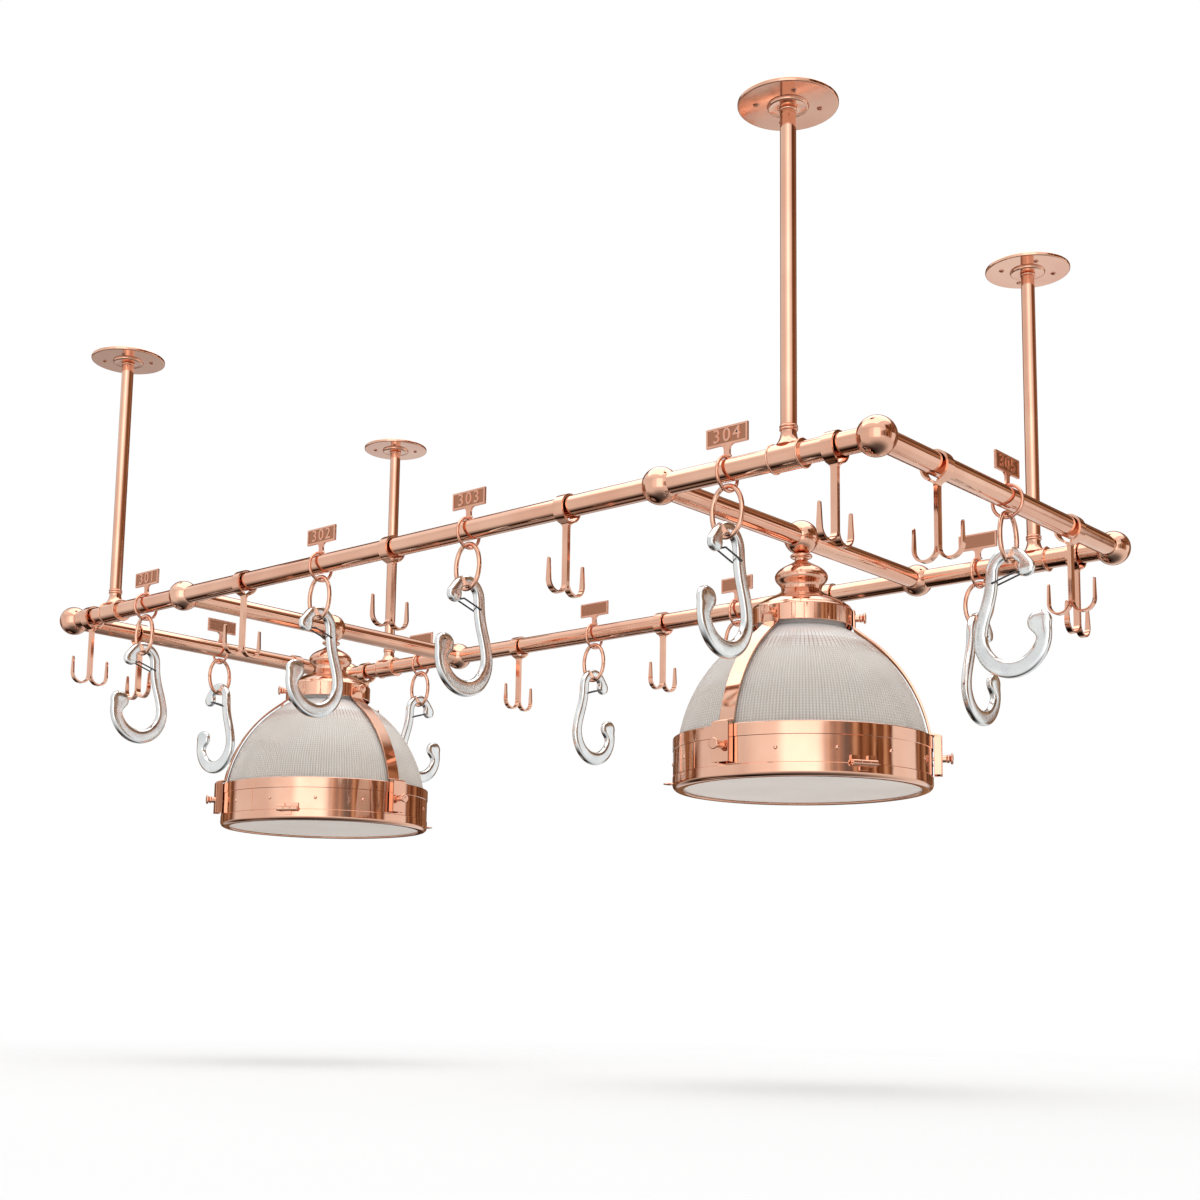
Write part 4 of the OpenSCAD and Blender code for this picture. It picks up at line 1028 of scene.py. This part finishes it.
# ---- Lamp bands ----
# Rolled copper strip, lapped and riveted, with a proud rim and a ledge that hold the foot of the
# glass, and two hinge knuckles for the door.
band_r = LAMP_R - 1
band = turned("band", [
    (band_r - RING_WALL, SEAM), (band_r - 0.3, SEAM), (band_r, SEAM + 0.3), (band_r, BAND_TOP - 2.3),
    (LAMP_R, BAND_TOP - 1.6), (LAMP_R, LAMP_TOP - 1.5),
    *arc((LAMP_R - 1.5, LAMP_TOP - 1.5), 1.5, 0, 180, 8), (LAMP_R - 3, BAND_TOP + 2.7),
    (FOOT_R - GLASS_T - 4, BAND_TOP + 2.7), (FOOT_R - GLASS_T - 4, BAND_TOP),
    (band_r - RING_WALL, BAND_TOP), (band_r - RING_WALL, SEAM)], 192, shut=True)
smooth(band, 30)
RIVETS, RIVET_FROM, RIVET_R = 14, -97, 3
LAP_T = 0.7
LAP_SPANS = {"left": (-83, 26), "right": (-139, -30)}
rivet = turned("rivet", [(0, -1), (RIVET_R - 0.4, -1), (RIVET_R - 0.4, 0.2), (RIVET_R, 0.5),
                         *arc((0, -1.4), 3.6, 40, 90, 6)], 24)
smooth(rivet, 50)
KNUCKLE_R, KNUCKLE_L, KNUCKLE_GAP, PIN_R = 4.5, 13, 0.3, 2
HINGE_TURN = 300
HINGE_R = LAMP_R + KNUCKLE_R + 0.6


def knuckle(along, up):
    """A hinge knuckle and its leaf. up is 1 for the band's knuckles and -1 for the door's."""
    half = KNUCKLE_L / 2
    barrel = turned("barrel", [(PIN_R + 0.1, -half), (KNUCKLE_R - 0.5, -half), (KNUCKLE_R, 0.5 - half),
                               (KNUCKLE_R, half - 0.5), (KNUCKLE_R - 0.5, half), (PIN_R + 0.1, half),
                               (PIN_R + 0.1, -half)], 32, shut=True)
    smooth(barrel, 40)
    laid = put(barrel, "barrel", (HINGE_R * MM, along * MM, SEAM * MM), lean=ON_Y)
    remove(barrel)
    z_low, z_high = sorted((up * 2.4, up * 11))
    leaf = block("leaf", (LAMP_R - 1.6, along - half, SEAM + z_low),
                 (LAMP_R + 2.4, along + half, SEAM + z_high), 0.6)
    return join([laid, leaf], "knuckle")


off_middle = KNUCKLE_L + KNUCKLE_GAP
knuckles = join([knuckle(-off_middle, 1), knuckle(off_middle, 1)], "knuckles")
bands = []
for side, x, turn in LAMPS:
    at = (x, 0, RAIL_Z)
    bands.append(put(band, "band", at, turn))
    bands.append(put(knuckles, "knuckles", at, turn + HINGE_TURN))
    for k in range(RIVETS):
        angle = turn + RIVET_FROM + 360 * k / RIVETS
        place = (*around((x, 0), band_r * MM, angle), RAIL_Z + (SEAM + BAND_H / 2) * MM)
        bands.append(put(rivet, "rivet", place, angle, ON_X))
    # The lapped part of the strip stands a little proud between its two ends
    lap_from, lap_to = LAP_SPANS[side]
    lap = start("lap", bpy.ops.mesh.primitive_plane_add, size=1)
    bpy.ops.object.mode_set(mode="EDIT")
    bpy.ops.mesh.select_all(action="SELECT")
    bpy.ops.transform.resize(value=(LAP_T * 2 * MM, (BAND_H - 4) * MM, 1))
    bpy.ops.transform.rotate(value=math.radians(-90), orient_axis="X", center_override=(0, 0, 0))
    bpy.ops.transform.translate(value=((band_r - 0.3) * MM, 0, (SEAM + BAND_H / 2 - 0.5) * MM))
    bpy.ops.mesh.spin(steps=64, angle=math.radians(lap_to - lap_from), center=(0, 0, 0), axis=(0, 0, 1))
    face_out()
    smooth(lap, 30)
    bands.append(put(lap, "lap", at, turn + lap_from))
    remove(lap)
remove(band, rivet, knuckles)
dress(join(bands, "riveted_bands"), polished_copper, "frame", "copper", "lamp_bands")


# ---- Doors ----
# The hinged bottom ring, spun with a round lip that carries the frosted lens. It has a knuckle
# with its pin for the hinge, and two finger pulls.
EDGE_R, LIP_W, LENS_PLAY = 8, 7, 0.5
LIP_IN = LAMP_R - EDGE_R - LENS_PLAY - LIP_W
DOOR_GAP = 0.3
edge_at = (LAMP_R - EDGE_R, LAMP_LOW + EDGE_R)
door_ring = turned("door", [
    (LAMP_R - RING_WALL, SEAM - DOOR_GAP), (LAMP_R - 0.4, SEAM - DOOR_GAP), (LAMP_R, SEAM - 0.7),
    *arc(edge_at, EDGE_R, 0, -90, 12), *arc((LIP_IN, LAMP_LOW + 1.5), 1.5, -90, -270, 8),
    *arc(edge_at, EDGE_R - RING_WALL, -90, 0, 8), (LAMP_R - RING_WALL, SEAM - DOOR_GAP)],
    192, shut=True)
smooth(door_ring, 30)
PULL_TURNS, PULL_DOWN, PULL_OUT = (60, 180), 6, 10
stem = turned("stem", [(0, -1), (2, -1), (2, 10), (1.6, 10.4), (0, 10.4)], 24)
smooth(stem)
tab = turned("tab", [
    (0, -1), (5.4, -1), *arc((5.2, 0), 1, -90, 90, 6), (2.2, 1), (1.6, 0.4), (0, 0.4)], 32)
smooth(tab)
pin_half = (3 * KNUCKLE_L + 4) / 2
pin = turned("pin", [
    (0, -pin_half), (PIN_R - 0.5, -pin_half), (PIN_R, 0.5 - pin_half),
    (PIN_R, pin_half - 0.5), (PIN_R - 0.5, pin_half), (0, pin_half)], 24)
smooth(pin)
door_knuckle = knuckle(0, -1)
for side, x, turn in LAMPS:
    at = Vector((x, 0, RAIL_Z))
    hinge_at = at + Vector((*around((0, 0), HINGE_R, turn + HINGE_TURN), SEAM)) * MM
    parts = [put(door_ring, "ring", at, turn), put(door_knuckle, "knuckle", at, turn + HINGE_TURN),
             put(pin, "pin", hinge_at, turn + HINGE_TURN, ON_Y)]
    for pull in PULL_TURNS:
        out_way = Vector((*around((0, 0), 1, turn + pull), 0))
        low = Vector((0, 0, SEAM - PULL_DOWN))
        parts.append(put(stem, "stem", at + (out_way * LAMP_R + low) * MM, turn + pull, ON_X))
        parts.append(put(tab, "tab", at + (out_way * (LAMP_R + PULL_OUT) + low) * MM, turn + pull))
    one = join(parts, side + "_door_ring")
    dress(one, polished_copper, side + "_door", "copper", side + "_lamp_door")
remove(door_ring, stem, tab, pin, door_knuckle)


# ---- Lenses ----
# Flat glass discs, frosted by acid on the inside, lying loose on the doors' lips. The frosting
# spreads the light and leaves only a dull shine.
frosted_glass, tree, spot, drift, tint = finish(
    "frosted_glass", 120, 2, (0.3, "#f1e8df"), (0.7, "#f9f1e9"))
skin = add(tree, "ShaderNodeBsdfPrincipled", inputs={
    "Base Color": tint.outputs["Color"], "Metallic": 0.0, "Roughness": 0.35, "IOR": 1.5,
    "Transmission Weight": 0.15})
add(tree, "ShaderNodeOutputMaterial", inputs={"Surface": skin.outputs[0]})
LENS_R, LENS_T, LENS_EASE = LAMP_R - EDGE_R - LENS_PLAY, 4, 0.6
lens_z, lens_top = LAMP_LOW + 3.3, LAMP_LOW + 3.3 + LENS_T
lens = turned("lens", [
    (0, lens_z), (LENS_R - LENS_EASE, lens_z), (LENS_R, lens_z + LENS_EASE),
    (LENS_R, lens_top - LENS_EASE), (LENS_R - LENS_EASE, lens_top), (0, lens_top)], 128)
smooth(lens, 30)
for side, x, turn in LAMPS:
    one = put(lens, side + "_lens", (x, 0, RAIL_Z), turn)
    dress(one, frosted_glass, side + "_door", "lens_glass", side + "_lamp_lens")
remove(lens)


# ---- Bulbs ----
# Opal glass globes on a screw cap, held in the lampholders. The milky glass has a plain gloss.
opal_glass, tree, spot, drift, tint = finish(
    "opal_glass", 40, 2, (0.3, "#efeeea"), (0.7, "#f7f6f3"))
skin = add(tree, "ShaderNodeBsdfPrincipled", inputs={
    "Base Color": tint.outputs["Color"], "Metallic": 0.0, "Roughness": 0.2, "IOR": 1.5})
add(tree, "ShaderNodeOutputMaterial", inputs={"Surface": skin.outputs[0]})
BULB_TOP, GLOBE_R, BULB_CAP_R = socket_low, 32, 13.3
bulb = turned("bulb", [
    (0, BULB_TOP + 26), (BULB_CAP_R - 2, BULB_TOP + 26), (BULB_CAP_R, BULB_TOP + 24),
    (BULB_CAP_R, BULB_TOP - 6),
    *curve((BULB_CAP_R + 1, BULB_TOP - 10), (BULB_CAP_R + 3, BULB_TOP - 30),
           (GLOBE_R * 0.9, BULB_TOP - 48), (GLOBE_R * 0.93, BULB_TOP - 68)),
    *arc((0, BULB_TOP - 80), GLOBE_R, 20, -90, 16)], 64)
smooth(bulb, 40)
bulbs = set_out(bulb, AT_LAMPS, "opal_bulbs")
dress(bulbs, opal_glass, "frame", "bulb_glass", "bulbs")
